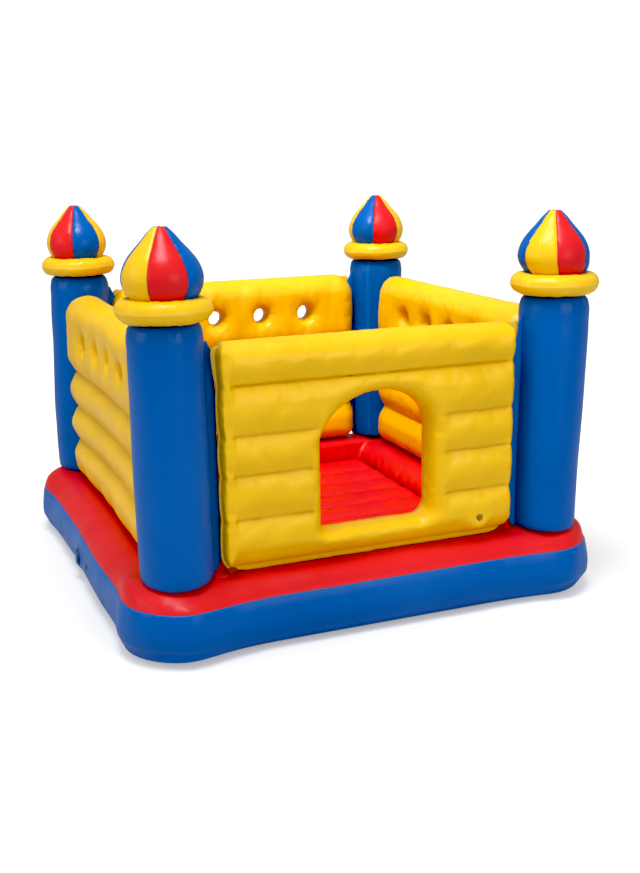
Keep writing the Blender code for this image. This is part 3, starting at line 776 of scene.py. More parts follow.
def tower_mesh(place):
    tower = TOWERS[place]
    full, top, foot = tower.radius, tower.top, tower.foot
    girth = FOOT_GIRTH[place]
    # radius, height, from the top down
    profile = loft_profile(
        [
            (0.012, top - 0.0015),
            (0.050, top - 0.0010),
            (0.078, top - 0.0005),
            (0.0965, top - 0.003),
            (0.1085, top - 0.013),
            (full * 0.982, top - 0.034),
            (full * 0.995, top - 0.090),
            (full, top - 0.300),
            (full * 1.004, (top + foot) / 2 - 0.05),
            (full * (1 + (girth - 1) * 0.6), foot + 0.180),
            (full * 0.999 * girth, foot + 0.072),
            (full * 0.994 * girth, foot + 0.038),
            (full * 0.979 * girth, foot + 0.021),
            (full * 0.945 * girth, foot + 0.011),
            (full * 0.880 * girth, foot + 0.0055),
            (full * 0.770 * girth, foot + 0.0025),
            (full * 0.600, foot + 0.001),
        ],
        150,
    )
    cols = 120
    radius, z = profile[:, 0:1], profile[:, 1:2]
    angle = np.linspace(0, 2 * math.pi, cols, endpoint=False)
    points = around(tower.x, tower.y, radius, angle, z)
    # the tower's upright seam faces the middle of the house
    seam_angle = math.atan2(-tower.y, -tower.x)
    from_seam = np.angle(np.exp(1j * (angle - seam_angle))) * full
    number = PLACES.index(place)
    slack = Waves(41 + number, 0.30, (1, 1, 2.0), 24)(points)
    ripple = Waves(51 + number, 0.032, (1, 1, 3.5), 40)(points)
    near_top = fade(top - z, 0.035) * (radius > 0.09)
    near_foot = fade(np.maximum(z - foot, 0), 0.030)
    amount = 0.0012 * slack * smooth(0.08, 0.11, radius)
    amount += 0.0011 * ripple * (near_top + 0.8 * near_foot) * smooth(0.06, 0.10, radius)
    amount += 0.0012 * bell(from_seam, 0.0035) * smooth(0.09, 0.11, radius)
    points[..., 0] += amount * np.cos(angle)
    points[..., 1] += amount * np.sin(angle)
    # the foot follows the ring under it
    drop = ring_height(points[..., 0], points[..., 1]) + 0.0006 - RING_TOP
    under = 0.15 + 0.85 * smooth(0.095, 0.070, radius)
    points[..., 2] += drop * under * (1 - smooth(foot, foot + 0.085, z))
    # fans close the top and the foot
    foot_z = float(ring_height(np.array(tower.x), np.array(tower.y))) + 0.0012
    hubs = [[tower.x, tower.y, top - 0.0015], [tower.x, tower.y, foot_z]]
    verts = np.vstack([points.reshape(-1, 3), hubs])
    tip, base = len(verts) - 2, len(verts) - 1
    last = (len(profile) - 1) * cols
    faces = grid_faces(len(profile), cols).tolist()
    for i in range(cols):
        j = (i + 1) % cols
        faces.append([tip, i, j])
        faces.append([base, last + j, last + i])
    weld = bell(from_seam, 0.004) * (radius > 0.09)
    # painted shade: a dark line round the foot on the ring, and under the collar at the top
    crease = 0.55 * fade(np.maximum(z - foot, 0), 0.006)
    crease = crease + 0.6 * fade(top - z, 0.004) * (radius > 0.085)
    attrs = {
        "weld": np.append(weld, [0, 0]),
        "crease": np.append(np.repeat(crease, cols), [0, 0]),
    }
    obj = make_object("tower_skin_" + place, verts, faces, BLUE, attrs)
    outward(obj)
    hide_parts("tower_" + place)


def collar_mesh(place):
    """A tube round the tower's top, a little squashed on the tower and under the dome."""
    tower = TOWERS[place]
    tube = (tower.collar_high - tower.collar_low) / 2
    middle_z = (tower.collar_high + tower.collar_low) / 2
    tube_centre = tower.collar_radius - tube
    cols, rows = 150, 44
    angle = np.linspace(0, 2 * math.pi, cols, endpoint=False)
    turn = np.linspace(0, 2 * math.pi, rows, endpoint=False)[:, None]
    out, rise = np.cos(turn), np.sin(turn)
    squashed = tube * (1 - 0.02 * rise**4)
    z = middle_z + squashed * rise * (1 - 0.03 * (out < 0))
    points = around(tower.x, tower.y, tube_centre + squashed * out, angle, z)
    number = PLACES.index(place)
    slack = Waves(61 + number, 0.12, (1, 1, 1), 24)(points)
    ripple = Waves(71 + number, 0.022, (1, 1, 3.0), 40)(points)
    inner = smooth(0.2, -0.7, out)
    from_seam = np.minimum(turn, 2 * math.pi - turn)
    amount = 0.0010 * slack + 0.0022 * ripple * inner + 0.0004 * ripple
    amount += 0.0009 * bell(from_seam, 0.05)
    points = points + around(0, 0, out, angle, rise) * amount[..., None]
    # painted shade on the tube's inner side, against the tower
    attrs = {
        "weld": np.repeat(bell(from_seam, 0.055) * 0.8, cols),
        "crease": np.repeat(inner * 0.5, cols),
    }
    faces = grid_faces(rows, cols, wrap_rows=True)
    obj = make_object("collar_ring_" + place, points, faces, YELLOW, attrs)
    outward(obj)
    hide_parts("collar_" + place)


def dome_gores(place):
    """Welded gores: each swells between its seams, and its edges turn in to meet the next."""
    tower = TOWERS[place]
    seat = tower.collar_high - 0.004
    scale = (DOME_TOP - seat) / (OUTLINE_TOP - OUTLINE_SEAT)
    girth = DOME_GIRTH[place]
    profile = loft_profile(
        [(radius * girth, DOME_TOP - (OUTLINE_TOP - z) * scale) for radius, z in DOME_OUTLINE], 72
    )
    radius, z = profile[:, 0:1], profile[:, 1:2]
    slope = np.gradient(profile, axis=0)
    size = np.hypot(slope[:, 1], slope[:, 0])
    normal_out, normal_up = (-slope[:, 1] / size)[:, None], (slope[:, 0] / size)[:, None]
    cols = 27
    half = math.radians(30.0)
    # -1 to 1 between the gore's seams, closer together near them
    across = np.linspace(-1, 1, cols)
    across = np.sin(across * math.pi / 2) * 0.35 + across * 0.65
    from_seam = 1 - np.abs(across)
    swelling = 0.0030 * (1 - across**2) - 0.0020 * np.abs(across) ** 10
    near_seam = fade(from_seam, 0.22)
    near_foot = fade(z - profile[-1, 1], 0.03)
    names = sorted(node for node in frame["nodes"] if node.startswith(f"dome_{place}_gore_"))
    for number, name in enumerate(names):
        colour = name.rsplit("_", 1)[1]
        # the gore's middle direction, from the lower part of its CAD piece
        cad = verts_of(frame["nodes"][name])
        wide = cad[cad[:, 2] < 1.25]
        middle = math.atan2((wide[:, 1] - tower.y).mean(), (wide[:, 0] - tower.x).mean())
        angle = middle + half * across * 0.998
        points = around(tower.x, tower.y, radius, angle, z)
        ripple = Waves(81 + number + 7 * PLACES.index(place), 0.026, (1, 1, 1), 36)(points)
        pucker = 0.00050 * ripple * (near_seam + 0.9 * near_foot) * smooth(0.01, 0.05, radius)
        amount = swelling * smooth(0.0, 0.06, radius) + pucker
        points = points + around(0, 0, normal_out, angle, normal_up) * amount[..., None]
        # painted shade darkens each gore towards its seams
        attrs = {
            "weld": bell(from_seam * half * radius, 0.0016) * 0.6,
            "crease": np.tile(near_seam**3 * 0.25, len(profile)),
        }
        faces = grid_faces(len(profile), cols, wrap_cols=False)
        obj = make_object(
            f"gore_{place}_{number + 1}_{colour}", points, faces, SHEET[colour], attrs
        )
        solidify(obj, 0.0008)
        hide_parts(name)


# ---------------------------------------------------------------- walls
# Wall space: x runs along the wall, y out of the house and z up.
WALL_CELL = 0.0065                  # lattice step of the walls' surface net
back_low, back_high = box("wall_back")
WALL_HALF = (back_high[1] - back_low[1]) / 2        # half thickness
SIDE_LINES = (0.414, 0.553, 0.697)                  # heights of the welded lobe lines
FRONT_LINES = (0.425, 0.570, 0.700, 0.860)
WINDOW_Z = 0.845
WINDOW_R = 0.029
WINDOW_AT = [(i - 1.5) * 0.206 for i in range(4)]
DOOR_HALF, DOOR_SILL, DOOR_TOP, DOOR_ARCH = 0.196, 0.345, 0.797, 0.165
DOOR_MID = 0.001
END_SHIFT = 0.024                   # the front wall's left end weld lies this far out


def wall_spec(low, high, cad_node, panel_seed, gather_seed, is_front=False):
    cad_low, cad_high = box(cad_node)
    return SimpleNamespace(
        low=low,
        high=high,
        mid=(low + high) / 2,
        half=(high - low) / 2,
        foot=cad_low[2] + 0.0010,
        top=cad_high[2],
        panel_seed=panel_seed,
        gather_seed=gather_seed,
        is_front=is_front,
        lines=FRONT_LINES if is_front else SIDE_LINES,
        notch=0.006 if is_front else 0.018,         # depth of the ends' scallops
        top_radius=0.036 if is_front else 0.100,
    )


WALLS = {
    "front": wall_spec(-0.5330, 0.5150, "wall_front", 101, 111, is_front=True),
    "back": wall_spec(-0.5520, 0.5520, "wall_back", 104, 112),
    "left": wall_spec(-0.6030, 0.6030, "wall_left", 102, 113),
    "right": wall_spec(-0.6030, 0.6030, "wall_left", 103, 114),
}


def notches(z, wall, reach):
    """Peaks at the wall's lobe lines, where its ends draw in."""
    return sum(fade(np.abs(z - line), reach) for line in wall.lines)


def inside_distance(x, z, wall, top, foot_radius):
    """Distance inside the wall's outline, whose foot and top corners have their own radii."""
    centre, half_height = (wall.foot + top) / 2, (top - wall.foot) / 2
    radius = np.where(z < centre, foot_radius, wall.top_radius)
    past_x = np.abs(x) - (wall.half - radius)
    past_z = np.abs(z - centre) - (half_height - radius)
    outside = np.hypot(np.maximum(past_x, 0), np.maximum(past_z, 0))
    return radius - (outside + np.minimum(np.maximum(past_x, past_z), 0))


def pillow(distance, reach):
    """Square of the half thickness of a welded edge's round: 0 at the weld, full past reach."""
    share = np.minimum(distance / reach, 1.0)
    return WALL_HALF**2 * (1 - (1 - share) ** 2)


def groove(z, line, reach):
    """1 on a lobe line, 0 a lobe's half width away: a round valley with a narrow floor."""
    share = np.clip(np.abs(z - line) / reach, 0.0, 1.0)
    sharp = 1 - np.sqrt(1 - (1 - share) ** 2)
    return 0.42 * sharp + 0.58 * np.cos(np.pi * share / 2) ** 2


def door_distance(x, z):
    """Distance outside the door: an arch on straight jambs, with round corners at the sill."""
    spring = DOOR_TOP - DOOR_ARCH
    x = x - DOOR_MID - 0.016 * smooth(spring, DOOR_TOP, z)
    corner = np.where(x < 0, 0.022, 0.050)
    past_x = np.maximum(np.abs(x) - (DOOR_HALF - corner), 0)
    low = np.hypot(past_x, np.maximum(DOOR_SILL + corner - z, 0)) - corner
    low = np.where(z < DOOR_SILL + corner, low, np.abs(x) - DOOR_HALF)
    arch = np.hypot(x / DOOR_HALF, (z - spring) / DOOR_ARCH) - 1
    arch = arch * np.where(z > spring, 0.5 * (DOOR_HALF + DOOR_ARCH), DOOR_HALF)
    return np.where(z > spring, arch, low)


def tuft(distance, reach, thick):
    """Square of the half thickness round a punched hole: a short steep lip, then a dish."""
    share = np.clip(distance / reach, 0.0, 1.0)
    lip = 0.87 * (1 - np.exp(-np.maximum(distance, 0) / 0.0070))
    rise = lip + 0.13 * np.sin(np.pi * share / 2) ** 1.3
    return np.where(distance > 0, (thick * rise) ** 2, distance * 0.05)


def front_thickness(wall, x, z):
    """Square of the front wall's half thickness."""
    from_mid = x - wall.mid
    end = wall.half - wall.notch * notches(z, wall, 0.022)
    top = wall.top - 0.008 * smooth(0.05, 0.50, x)      # the top sinks towards the right
    distance = inside_distance(from_mid * wall.half / end, z, wall, top, 0.082)
    body = pillow(distance, np.where(x < 0, 0.018, 0.030))
    body = smooth_min(body, pillow(top - z, 0.074), 0.0006)
    # a thin skirt under the round
    skirt = WALL_HALF**2 * np.clip((z - wall.foot - 0.018) / 0.080, 0.035, 1)
    body = smooth_min(body, skirt, 0.0003)
    # valleys on the lobe lines; those beside the door die out towards its jambs
    ends = smooth(0.010, 0.048, wall.half - np.abs(from_mid))
    upper_line = FRONT_LINES[3]
    dip = 0.25 * (0.25 + 0.75 * ends) * groove(z, upper_line, 0.072)
    jamb = np.abs(x - DOOR_MID) - DOOR_HALF
    for line in FRONT_LINES[:3]:
        left_reach = (0.004, 0.024) if line > 0.65 else (0.020, 0.052)
        beside = np.where(x < 0, smooth(*left_reach, jamb), smooth(0.030, 0.070, jamb))
        strength = ends * beside
        dip = dip + 0.215 * strength * groove(z, line, 0.068)
        dip = dip + 0.055 * strength * bell(z - line, 0.0042)
    dip = dip + 0.060 * ends * bell(z - upper_line, 0.0042)
    body = body * np.clip(1 - dip, 0.2, 1) ** 2
    body = smooth_min(body, pillow(door_distance(x, z), 0.052), 0.0014)
    # the little valve's own seat
    away = np.hypot(x - WALL_VALVE[0], z - WALL_VALVE[2])
    seat = (abs(WALL_VALVE[1]) - TOWER_Y + 0.0002) ** 2
    blend = smooth(0.075, 0.018, away) * smooth(wall.foot + 0.016, wall.foot + 0.048, z)
    return body * (1 - blend) + seat * blend


def plain_thickness(wall, x, z):
    """Square of the half thickness of a wall with a row of round windows."""
    end = wall.half - wall.notch * notches(z, wall, 0.024)
    distance = inside_distance((x - wall.mid) * wall.half / end, z, wall, wall.top, 0.060)
    body = smooth_min(pillow(distance, 0.070), pillow(wall.top - z, 0.080), 0.0006)
    dip = 0.0
    for line in SIDE_LINES:
        dip = dip + 0.40 * groove(z, line, 0.071) + 0.050 * bell(z - line, 0.0045)
    body = body * np.clip(1 - dip, 0.2, 1) ** 2
    for at in WINDOW_AT:
        away = np.hypot(x - at, z - WINDOW_Z)
        body = smooth_min(body, tuft(away - WINDOW_R, 0.090, WALL_HALF * 1.01), 0.0003)
    return body


def end_shift(wall, x):
    """How far out the front wall's left end is pushed."""
    return END_SHIFT * smooth(0.050, 0.006, x - wall.low) if wall.is_front else 0.0


def wall_field(wall):
    """The wall's surface as a function of wall-space points, negative inside."""
    panel_noise = Waves(wall.panel_seed, 0.26, (1, 1, 1), 24)
    folds = Waves(wall.panel_seed + 20, 0.085, (1, 1, 4.5), 30)
    thickness = front_thickness if wall.is_front else plain_thickness

    def field(points):
        x, y, z = points[..., 0], points[..., 1], points[..., 2]
        square = thickness(wall, x, z)
        flat = np.stack([x, np.zeros_like(x), z], -1)
        sway = 0.0016 * panel_noise(flat) * smooth(0.0, 0.05, square / WALL_HALF)
        if wall.is_front:
            # the left end's weld lies towards the outer face
            shift = end_shift(wall, x)
            sway = sway + shift
            square = np.minimum(square, (WALL_HALF - shift) ** 2)
        else:
            # slack folds hang down the tall window panel
            panel = smooth(SIDE_LINES[2], SIDE_LINES[2] + 0.06, z)
            panel = panel * smooth(wall.top, wall.top - 0.07, z)
            square = square * (1 + 0.045 * panel * folds(flat) * (square > 0))
        return (y - sway) ** 2 - square

    return field


def to_house(kind, points):
    """Wall-space points to house space. Front and back run along X, left and right along Y."""
    points = np.asarray(points, float)
    x, y, z = points[..., 0], points[..., 1], points[..., 2]
    if kind == "front":
        return np.stack([x, -TOWER_Y - y, z], -1)
    if kind == "back":
        return np.stack([x, TOWER_Y + y, z], -1)
    if kind == "left":
        return np.stack([-TOWER_X - y, x, z], -1)
    return np.stack([TOWER_X + y, x, z], -1)


def wall_attributes(wall, x, y, z):
    """Weld, painted crease shade and hold: what the heat welds hold still while the sheet swells.
    """
    # painted shade along the lobe lines, darker on the front wall, fading at its ends and beside
    # the door
    crease = np.zeros(len(x))
    for line in wall.lines:
        depth = 0.62 if wall.is_front else 0.42
        crease = np.maximum(crease, bell(z - line, 0.0045) * depth)
    weld = np.zeros(len(x))
    hold = np.zeros(len(x))
    if wall.is_front:
        ends = smooth(0.016, 0.050, wall.half - np.abs(x - wall.mid))
        jamb = smooth(0.012, 0.05, np.abs(x - DOOR_MID) - DOOR_HALF)
        crease = crease * ends * np.where(z > 0.80, 1.0, jamb)
        rim = door_distance(x, z)
        weld = bell(rim, 0.004) * (np.abs(y) < 0.012) * 0.5
        hold = np.maximum(hold, smooth(0.016, 0.008, np.abs(y)) * (rim < 0.02))
        from_valve = np.hypot(x - WALL_VALVE[0], z - WALL_VALVE[2])
        hold = np.maximum(hold, smooth(0.030, 0.016, from_valve))
    else:
        for at in WINDOW_AT:
            rim = np.hypot(x - at, z - WINDOW_Z) - WINDOW_R
            weld = np.maximum(weld, bell(rim, 0.004) * (np.abs(y) < 0.014) * 0.5)
            hold = np.maximum(hold, smooth(0.014, 0.007, rim))
    hold = np.maximum(hold, smooth(0.012, 0.005, np.abs(y - end_shift(wall, x))))
    for line in wall.lines:
        held = smooth(0.0065, 0.0030, np.abs(z - line)) * (crease > 0.10)
        hold = np.maximum(hold, held)
    return {"weld": weld, "crease": crease, "hold": hold}


def wall_gathers(wall, x, z, points):
    """Short ripples that run away from each weld line, from the ends and from the holes."""
    near = np.zeros(len(x))
    for line in wall.lines:
        near = np.maximum(near, fade(np.abs(z - line), 0.022))
    seed = wall.gather_seed
    up_ripple = Waves(seed, 0.036, (1.0, 1.0, 3.2), 44)(points)
    end_ripple = Waves(seed + 10, 0.036, (3.0, 3.0, 1.0), 44)(points)
    tops = fade(wall.top - z, 0.05) + fade(z - wall.foot, 0.035)
    ends = fade(wall.half - np.abs(x - wall.mid), 0.045)
    amount = 0.0006 * up_ripple * (0.7 * near + 0.35 * tops) + 0.0007 * end_ripple * ends
    if wall.is_front:
        door_ripple = Waves(seed + 20, 0.03, (1, 1, 1), 40)(points)
        amount += 0.0005 * door_ripple * fade(np.abs(door_distance(x, z)), 0.03)
        amount *= smooth(0.015, 0.035, np.hypot(x - WALL_VALVE[0], z - WALL_VALVE[2]))
    else:
        for at in WINDOW_AT:
            away = np.hypot(x - at, z - WINDOW_Z)
            angle = np.arctan2(z - WINDOW_Z, x - at)
            rays = np.sin(angle * 9 + at * 40) + 0.6 * np.sin(angle * 14 + at * 90)
            amount += 0.0007 * rays * bell(away - 0.048, 0.020)
    return amount


def wall_mesh(kind):
    wall = WALLS[kind]
    low = (wall.low - 0.012, -WALL_HALF - 0.014, wall.foot - 0.012)
    high = (wall.high + 0.012, WALL_HALF + 0.014, wall.top + 0.012)
    local, faces = surface_net(wall_field(wall), low, high, WALL_CELL)
    x, y, z = local[:, 0], local[:, 1], local[:, 2]
    attrs = wall_attributes(wall, x, y, z)
    obj = make_object("wall_skin_" + kind, to_house(kind, local), faces, YELLOW, attrs)
    outward(obj)
    points, normals = verts_of(obj), normals_of(obj)
    amount = wall_gathers(wall, x, z, points)
    set_verts(obj, points + normals * amount[:, None])
    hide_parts("wall_" + kind)
    return obj


def read_hold(obj):
    hold = np.empty(len(obj.data.vertices), np.float32)
    obj.data.attributes["hold"].data.foreach_get("value", hold)
    return hold


def swell(objs, grow, pressure, frames, cap):
    """Cloth under air pressure: each sheet has a little more length than its shape, is held
    along its welds, and gathers there as it fills. Movement is capped, then kept in the mesh."""
    before = {}
    for obj in objs:
        before[obj.name] = verts_of(obj)
        group = obj.vertex_groups.new(name="welds")
        level = np.round(read_hold(obj), 1)
        for value in np.unique(level):
            if value > 0:
                group.add(np.flatnonzero(level == value).tolist(), float(value), "REPLACE")
        mod = obj.modifiers.new("air", "CLOTH")
        settings = mod.settings
        settings.vertex_group_mass = group.name
        settings.quality = 4
        settings.mass = 0.25
        settings.tension_stiffness = 25
        settings.compression_stiffness = 25
        settings.shear_stiffness = 10
        settings.bending_stiffness = 0.6
        settings.air_damping = 2.0
        settings.shrink_min = -grow
        settings.use_pressure = True
        settings.uniform_pressure_force = pressure
        settings.effector_weights.gravity = 0.0
        mod.collision_settings.use_collision = False
        mod.point_cache.frame_start = 1
        mod.point_cache.frame_end = frames
    for step in range(1, frames + 1):
        scene.frame_set(step)
    graph = bpy.context.evaluated_depsgraph_get()
    for obj in objs:
        swollen = read_vectors(obj.evaluated_get(graph).data, "co").astype(float)
        obj.modifiers.remove(obj.modifiers["air"])
        move = swollen - before[obj.name]
        far = np.linalg.norm(move, axis=1)
        move *= (cap * np.tanh(far / cap) / np.maximum(far, 1e-9))[:, None]
        set_verts(obj, before[obj.name] + move)
    scene.frame_set(1)


def relax(obj, rounds):
    """Evens the sheet's small facets: each point moves towards its neighbours' mean."""
    mesh = obj.data
    ends = np.empty(len(mesh.edges) * 2, np.int64)
    mesh.edges.foreach_get("vertices", ends)
    first, second = ends.reshape(-1, 2).T
    points = verts_of(obj)
    size = len(points)
    free = (0.5 * (1 - 0.7 * np.clip(read_hold(obj), 0, 1)))[:, None]
    count = np.bincount(np.concatenate([first, second]), minlength=size)[:, None]
    for i in range(rounds):
        total = np.stack(
            [np.bincount(first, points[second, axis], size)
             + np.bincount(second, points[first, axis], size) for axis in range(3)],
            -1,
        )
        # every second pass pushes back, so that the shape doesn't shrink
        way = 1.0 if i % 2 == 0 else -1.02
        points = points + (total / np.maximum(count, 1) - points) * free * way
    set_verts(obj, points)


# ---------------------------------------------------------------- weld margins at the wall ends


def strip(name, line, width_dir, width, thick, mat, wave, seed):
    """A narrow welded flange: a thin closed ribbon that runs along a line and stands out along
    width_dir, with a slightly wavy free edge."""
    count = len(line)
    width_dir = np.broadcast_to(width_dir, line.shape)
    tangent = np.gradient(line, axis=0)
    tangent /= np.linalg.norm(tangent, axis=1)[:, None]
    across = np.cross(tangent, width_dir)
    across /= np.maximum(np.linalg.norm(across, axis=1)[:, None], 1e-9)
    ripple = Waves(seed, 0.045, (1, 1, 1), 30)
    rows = []
    for share in (0.0, 0.33, 0.66, 1.0):
        row = line + width_dir * (width * share)[:, None]
        rows.append(row + across * (wave * ripple(row) * share)[:, None])
    offset = across * (thick / 2)
    section = [row + offset for row in rows] + [row - offset for row in reversed(rows)]
    size = len(section)
    verts = np.stack(section).reshape(-1, 3)
    faces = grid_faces(size, count, wrap_cols=False, wrap_rows=True).tolist()
    faces.append([i * count for i in range(size)])
    faces.append([i * count + count - 1 for i in reversed(range(size))])
    attrs = {"weld": np.ones(len(verts)) * 0.85, "crease": np.zeros(len(verts))}
    outward(make_object(name, verts, faces, mat, attrs))


def wall_edge(wall, z, sign):
    """Where a wall's end lies at height z, with its scallops and round corners."""
    foot_radius = 0.070 if wall.is_front else 0.060
    edge = (wall.high if sign > 0 else -wall.low) - wall.notch * notches(z, wall, 0.023)
    below = np.clip(wall.foot + foot_radius - z, 0, None)
    above = np.clip(z - wall.top + wall.top_radius, 0, None)
    for radius, past in ((foot_radius, below), (wall.top_radius, above)):
        edge = edge - (radius - np.sqrt(np.clip(radius**2 - past**2, 0, None)))
    return edge


def wall_flanges(kind):
    """The pale weld margin at each end of a wall, and the tower's blue margin welded to it."""
    wall = WALLS[kind]
    foot, top = wall.foot, wall.top
    tower_face = (TOWER_X if kind in ("front", "back") else TOWER_Y) - TOWER_R
    for sign, side in ((-1, "low"), (1, "high")):
        out = to_house(kind, [sign, 0.0, 0.0]) - to_house(kind, [0.0, 0.0, 0.0])
        z = np.linspace(foot + 0.022, top - 0.010, 120)
        edge = wall_edge(wall, z, sign)
        shift = END_SHIFT if wall.is_front and sign < 0 else 0.0
        line = np.stack([sign * (edge - 0.004), np.full_like(z, 0.0012 + shift), z], -1)
        reach = tower_face - edge
        wider = 0.55 * np.clip(reach - 0.012, 0, None) * smooth(top - 0.16, top - 0.03, z)
        strip(
            f"weld_margin_{kind}_{side}", to_house(kind, line), out,
            width=np.clip(0.0105 + wider, 0.006, reach + 0.006),
            thick=0.0011, mat=YELLOW, wave=0.0009, seed=140 + 3 * sign,
        )
        z = np.linspace(foot + 0.008, top + 0.004, 120)
        edge = wall_edge(wall, np.clip(z, foot + 0.03, top - 0.03), sign)
        reach = np.clip(tower_face - edge, 0.006, 0.026) + 0.004
        line = [np.full_like(z, sign * (tower_face + 0.003)), np.full_like(z, -0.0008), z]
        taper = smooth(foot, foot + 0.05, z) * smooth(top + 0.012, top - 0.05, z)
        strip(
            f"tower_margin_{kind}_{side}", to_house(kind, np.stack(line, -1)), -out,
            width=(reach + 0.004) * (0.35 + 0.65 * taper),
            thick=0.0012, mat=BLUE, wave=0.0010, seed=170 + 3 * sign,
        )


for build in (tower_mesh, collar_mesh, dome_gores):
    for place in PLACES:
        build(place)
walls = {kind: wall_mesh(kind) for kind in WALLS}
swell(list(walls.values()), grow=0.0055, pressure=4.0, frames=10, cap=0.0026)
for skin in walls.values():
    relax(skin, rounds=6)
dent(walls["front"], WALL_VALVE, (0, -1, 0), radius=0.0066, depth=0.021, lap=0.45, ring=0.0016)
for kind in WALLS:
    wall_flanges(kind)

# ---------------------------------------------------------------- gussets at the front wall's foot


def gusset_mesh(side, sign):
    """From a flat foot on the ring, the patch turns up to the wall's end seam and narrows."""
    tab = "wall_front_foot_tab_" + side
    cols, rows = 26, 22
    across, up = np.meshgrid(np.linspace(0, 1, cols), np.linspace(0, 1, rows))
    wide = 0.060 * (1 - 0.45 * up)
    x = sign * (0.534 + (across - 0.5) * wide + 0.004 * up)
    rise = np.where(up < 0.35, 0.0, (up - 0.35) / 0.65)
    y = box(tab)[0][1] - 0.018 + 0.052 * np.minimum(up / 0.45, 1.0) + 0.003 * np.sin(across * 8)
    z = ring_height(x, y) + 0.0022 + 0.040 * np.maximum(rise, 0.0) ** 1.25
    z = z + 0.0022 * np.sin(across * 11 + up * 2) * up
    points = np.stack([x, y, z], -1)
    points[..., 1] += 0.0012 * Waves(160 + sign, 0.014, (1, 1, 1), 30)(points)
    # painted shade grows towards the patch's top, where it turns up against the wall
    attrs = {"weld": fade(up, 0.15) * 0.7, "crease": up * 0.3}
    faces = grid_faces(rows, cols, wrap_cols=False)
    gusset = make_object("gusset_front_" + side, points, faces, RED, attrs)
    solidify(gusset, 0.0008, 1.0)
    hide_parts(tab)


gusset_mesh("left", -1)
gusset_mesh("right", 1)

# ---------------------------------------------------------------- CAD pieces that stay


def cad_finish(name):
    if name.startswith("floor_beam"):
        return RED
    if name == "floor_bottom_sheet":
        return BLUE
    if name in ("base_valve_socket", "base_valve_insert"):
        return VALVE_BLUE
    if name.startswith(("base_valve", "base_small_valve")):
        return VALVE_SOFT
    if name.startswith("wall_valve"):
        return VALVE_AMBER
    return None


for name, obj in frame["nodes"].items():
    mat = cad_finish(name)
    if mat is None:
        continue
    if not obj.material_slots:
        obj.data.materials.append(mat)
    for slot in obj.material_slots:
        slot.material = mat

# ---------------------------------------------------------------- the house stands a little askew


def new_meshes():
    return [
        obj for obj in scene.objects if obj.type == "MESH" and obj.name not in frame["nodes"]
    ]


def lean(points):
    """Soft vinyl never stands true: the back left corner spreads, the front right tower leans
    out, and the left wall bulges towards its back."""
    x, y, z = points.T
    out = points.copy()
    low = 1 - smooth(0.35, 1.06, z)
    back_left = smooth(0.09, 0.66, y) * smooth(0.15, 0.60, -x)
    out[:, 0] -= 0.021 * back_left * low
    front_right = smooth(0.10, 0.60, -y) * smooth(0.45, 0.62, x)
    tilt = (2 * smooth(0.25, 1.05, z) - 1) * smooth(0.20, 0.26, z) * smooth(1.20, 1.14, z)
    out[:, 0] += 0.010 * front_right * tilt
    panel = smooth(-0.10, 0.58, y) * smooth(0.60, 0.74, -x)
    panel = panel * smooth(0.26, 0.40, z) * smooth(1.06, 0.98, z)
    off_tower = np.abs(np.abs(y) - TOWER_Y) > TOWER_R + 0.002
    out[:, 0] -= np.where(off_tower, 0.020 * panel * (1 - 0.4 * low), 0.0)
    return out


for obj in new_meshes():
    set_verts(obj, lean(verts_of(obj)))

# ---------------------------------------------------------------- everything new rides on the house
for obj in new_meshes():
    if body_of(obj) is None:
        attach(obj, ROOT)

# ---------------------------------------------------------------- stage, light and camera


def stage_paper():
    shader = Nodes("stage_paper")
    tone = shader.ramp(shader.noise(scale=1.5, detail=2.0), span=(0.3, 0.7), to=(0.0, 1.0))
    mixed = shader.mix(tone, (0.61, 0.61, 0.61), (0.63, 0.63, 0.63))
    shader.link(mixed, shader.inputs["Base Color"])
    shader.inputs["Roughness"].default_value = 0.9
    shader.inputs["Specular IOR Level"].default_value = 0.1
    # the paper glows where the camera looks at it, so that it reads as an endless white sweep
    shader.inputs["Emission Color"].default_value = (1.0, 1.0, 1.0, 1.0)
    seen = shader.node("ShaderNodeLightPath").outputs["Is Camera Ray"]
    distance = shader.node("ShaderNodeVectorMath", operation="LENGTH")
    shader.link(shader.coord, distance.inputs[0])
    glow = shader.ramp(distance.outputs["Value"], span=(0.90, 2.6), to=(0.34, 0.66))
    shader.link(shader.math("MULTIPLY", seen, glow), shader.inputs["Emission Strength"])
    return shader.mat


def stage_floor():
    bm = bmesh.new()
    bmesh.ops.create_grid(bm, x_segments=1, y_segments=1, size=30.0)
    mesh = bpy.data.meshes.new("stage_floor")
    bm.to_mesh(mesh)
    bm.free()
    ground = bpy.data.objects.new("stage_floor", mesh)
    ground.location = (0, 0, -0.0006)
    scene.collection.objects.link(ground)
    mesh.materials.append(stage_paper())


def studio_world():
    """White surroundings: brighter to the camera, dimmer in reflections."""
    world = bpy.data.worlds.new("studio")
    scene.world = world
    world.use_nodes = True
    tree = world.node_tree
    back = tree.nodes["Background"]
    back.inputs["Color"].default_value = (1.0, 1.0, 1.0, 1.0)
    path = tree.nodes.new("ShaderNodeLightPath")
    strengths = []
    # ray kind, strength for other rays, strength for this kind
    for ray, other, this in (("Is Camera Ray", 0.68, 1.05), ("Is Glossy Ray", 1.0, 0.50)):
        strength = tree.nodes.new("ShaderNodeMapRange")
        strength.inputs["To Min"].default_value = other
        strength.inputs["To Max"].default_value = this
        tree.links.new(path.outputs[ray], strength.inputs["Value"])
        strengths.append(strength)
    both = tree.nodes.new("ShaderNodeMath")
    both.operation = "MULTIPLY"
    for slot, strength in enumerate(strengths):
        tree.links.new(strength.outputs["Result"], both.inputs[slot])
    tree.links.new(both.outputs["Value"], back.inputs["Strength"])


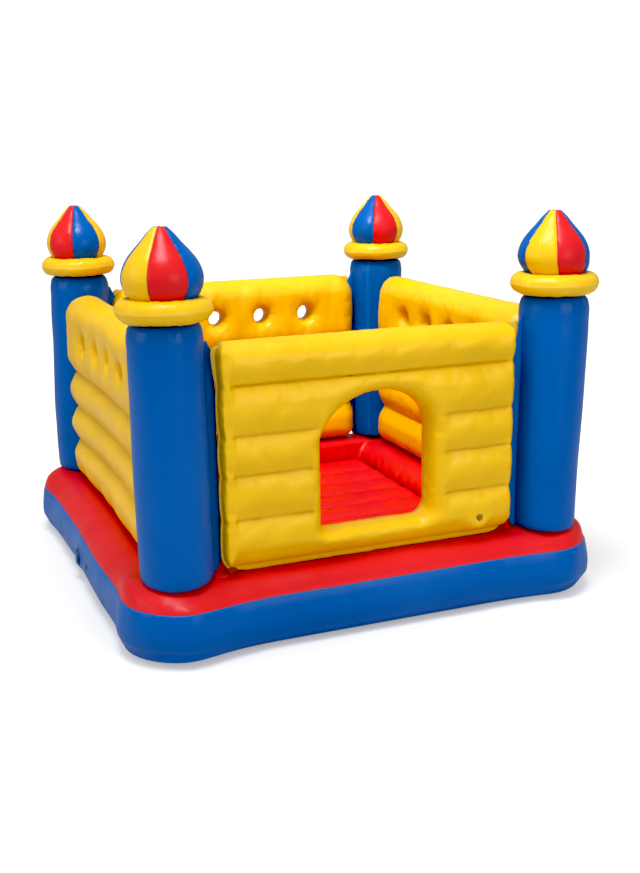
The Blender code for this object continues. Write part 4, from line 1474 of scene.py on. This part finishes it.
def area(name, place, target, size, energy, spread=180):
    """A square lamp aimed at target; spread in degrees."""
    data = bpy.data.lights.new(name, "AREA")
    data.shape = "RECTANGLE"
    data.size = size
    data.size_y = size
    data.energy = energy
    data.spread = math.radians(spread)
    lamp = bpy.data.objects.new(name, data)
    lamp.location = place
    aim = Vector(target) - Vector(place)
    lamp.rotation_euler = aim.to_track_quat("-Z", "Y").to_euler()
    scene.collection.objects.link(lamp)


def add_camera(place, yaw, pitch, roll, lens):
    """Yaw turns from +Y towards +X, pitch looks down; angles in radians, lens in mm."""
    data = bpy.data.cameras.new("camera")
    camera = bpy.data.objects.new("camera", data)
    scene.collection.objects.link(camera)
    level = math.cos(pitch)
    forward = Vector((math.sin(yaw) * level, math.cos(yaw) * level, -math.sin(pitch)))
    right = Vector((math.cos(yaw), -math.sin(yaw), 0.0))
    up = right.cross(forward)
    rolled_right = right * math.cos(roll) + up * math.sin(roll)
    rolled_up = up * math.cos(roll) - right * math.sin(roll)
    turn = Matrix((rolled_right, rolled_up, -forward)).transposed()
    camera.matrix_world = Matrix.Translation(place) @ turn.to_4x4()
    data.lens = lens
    data.sensor_width = 36.0
    data.sensor_fit = "AUTO"
    data.clip_end = 100.0
    scene.camera = camera


stage_floor()
studio_world()
area("key_top", place=(-1.2, -2.2, 7.2), target=(0, 0, 0.5), size=2.6, energy=285)
area(
    "inside", place=(-1.2, -0.9, 4.2), target=(0.62, 0.35, 0.80), size=0.8, energy=8.5, spread=48
)
area("fill_left", place=(-4.4, -0.4, 2.2), target=(0.0, 0, 0.5), size=2.2, energy=24)
area("fill_front", place=(1.3, -5.2, 2.0), target=(0.1, 0, 0.6), size=2.2, energy=34)

view = scene.view_settings
view.view_transform = "Standard"
view.look = "None"
view.exposure = 0.0
view.gamma = 1.0
view.use_curve_mapping = True
view.curve_mapping.black_level = (0.021, 0.021, 0.021)
view.curve_mapping.update()

add_camera(
    place=(-1.4787, -4.0329, 1.5729), yaw=0.3737, pitch=0.2527, roll=-0.0166, lens=46.46527835
)
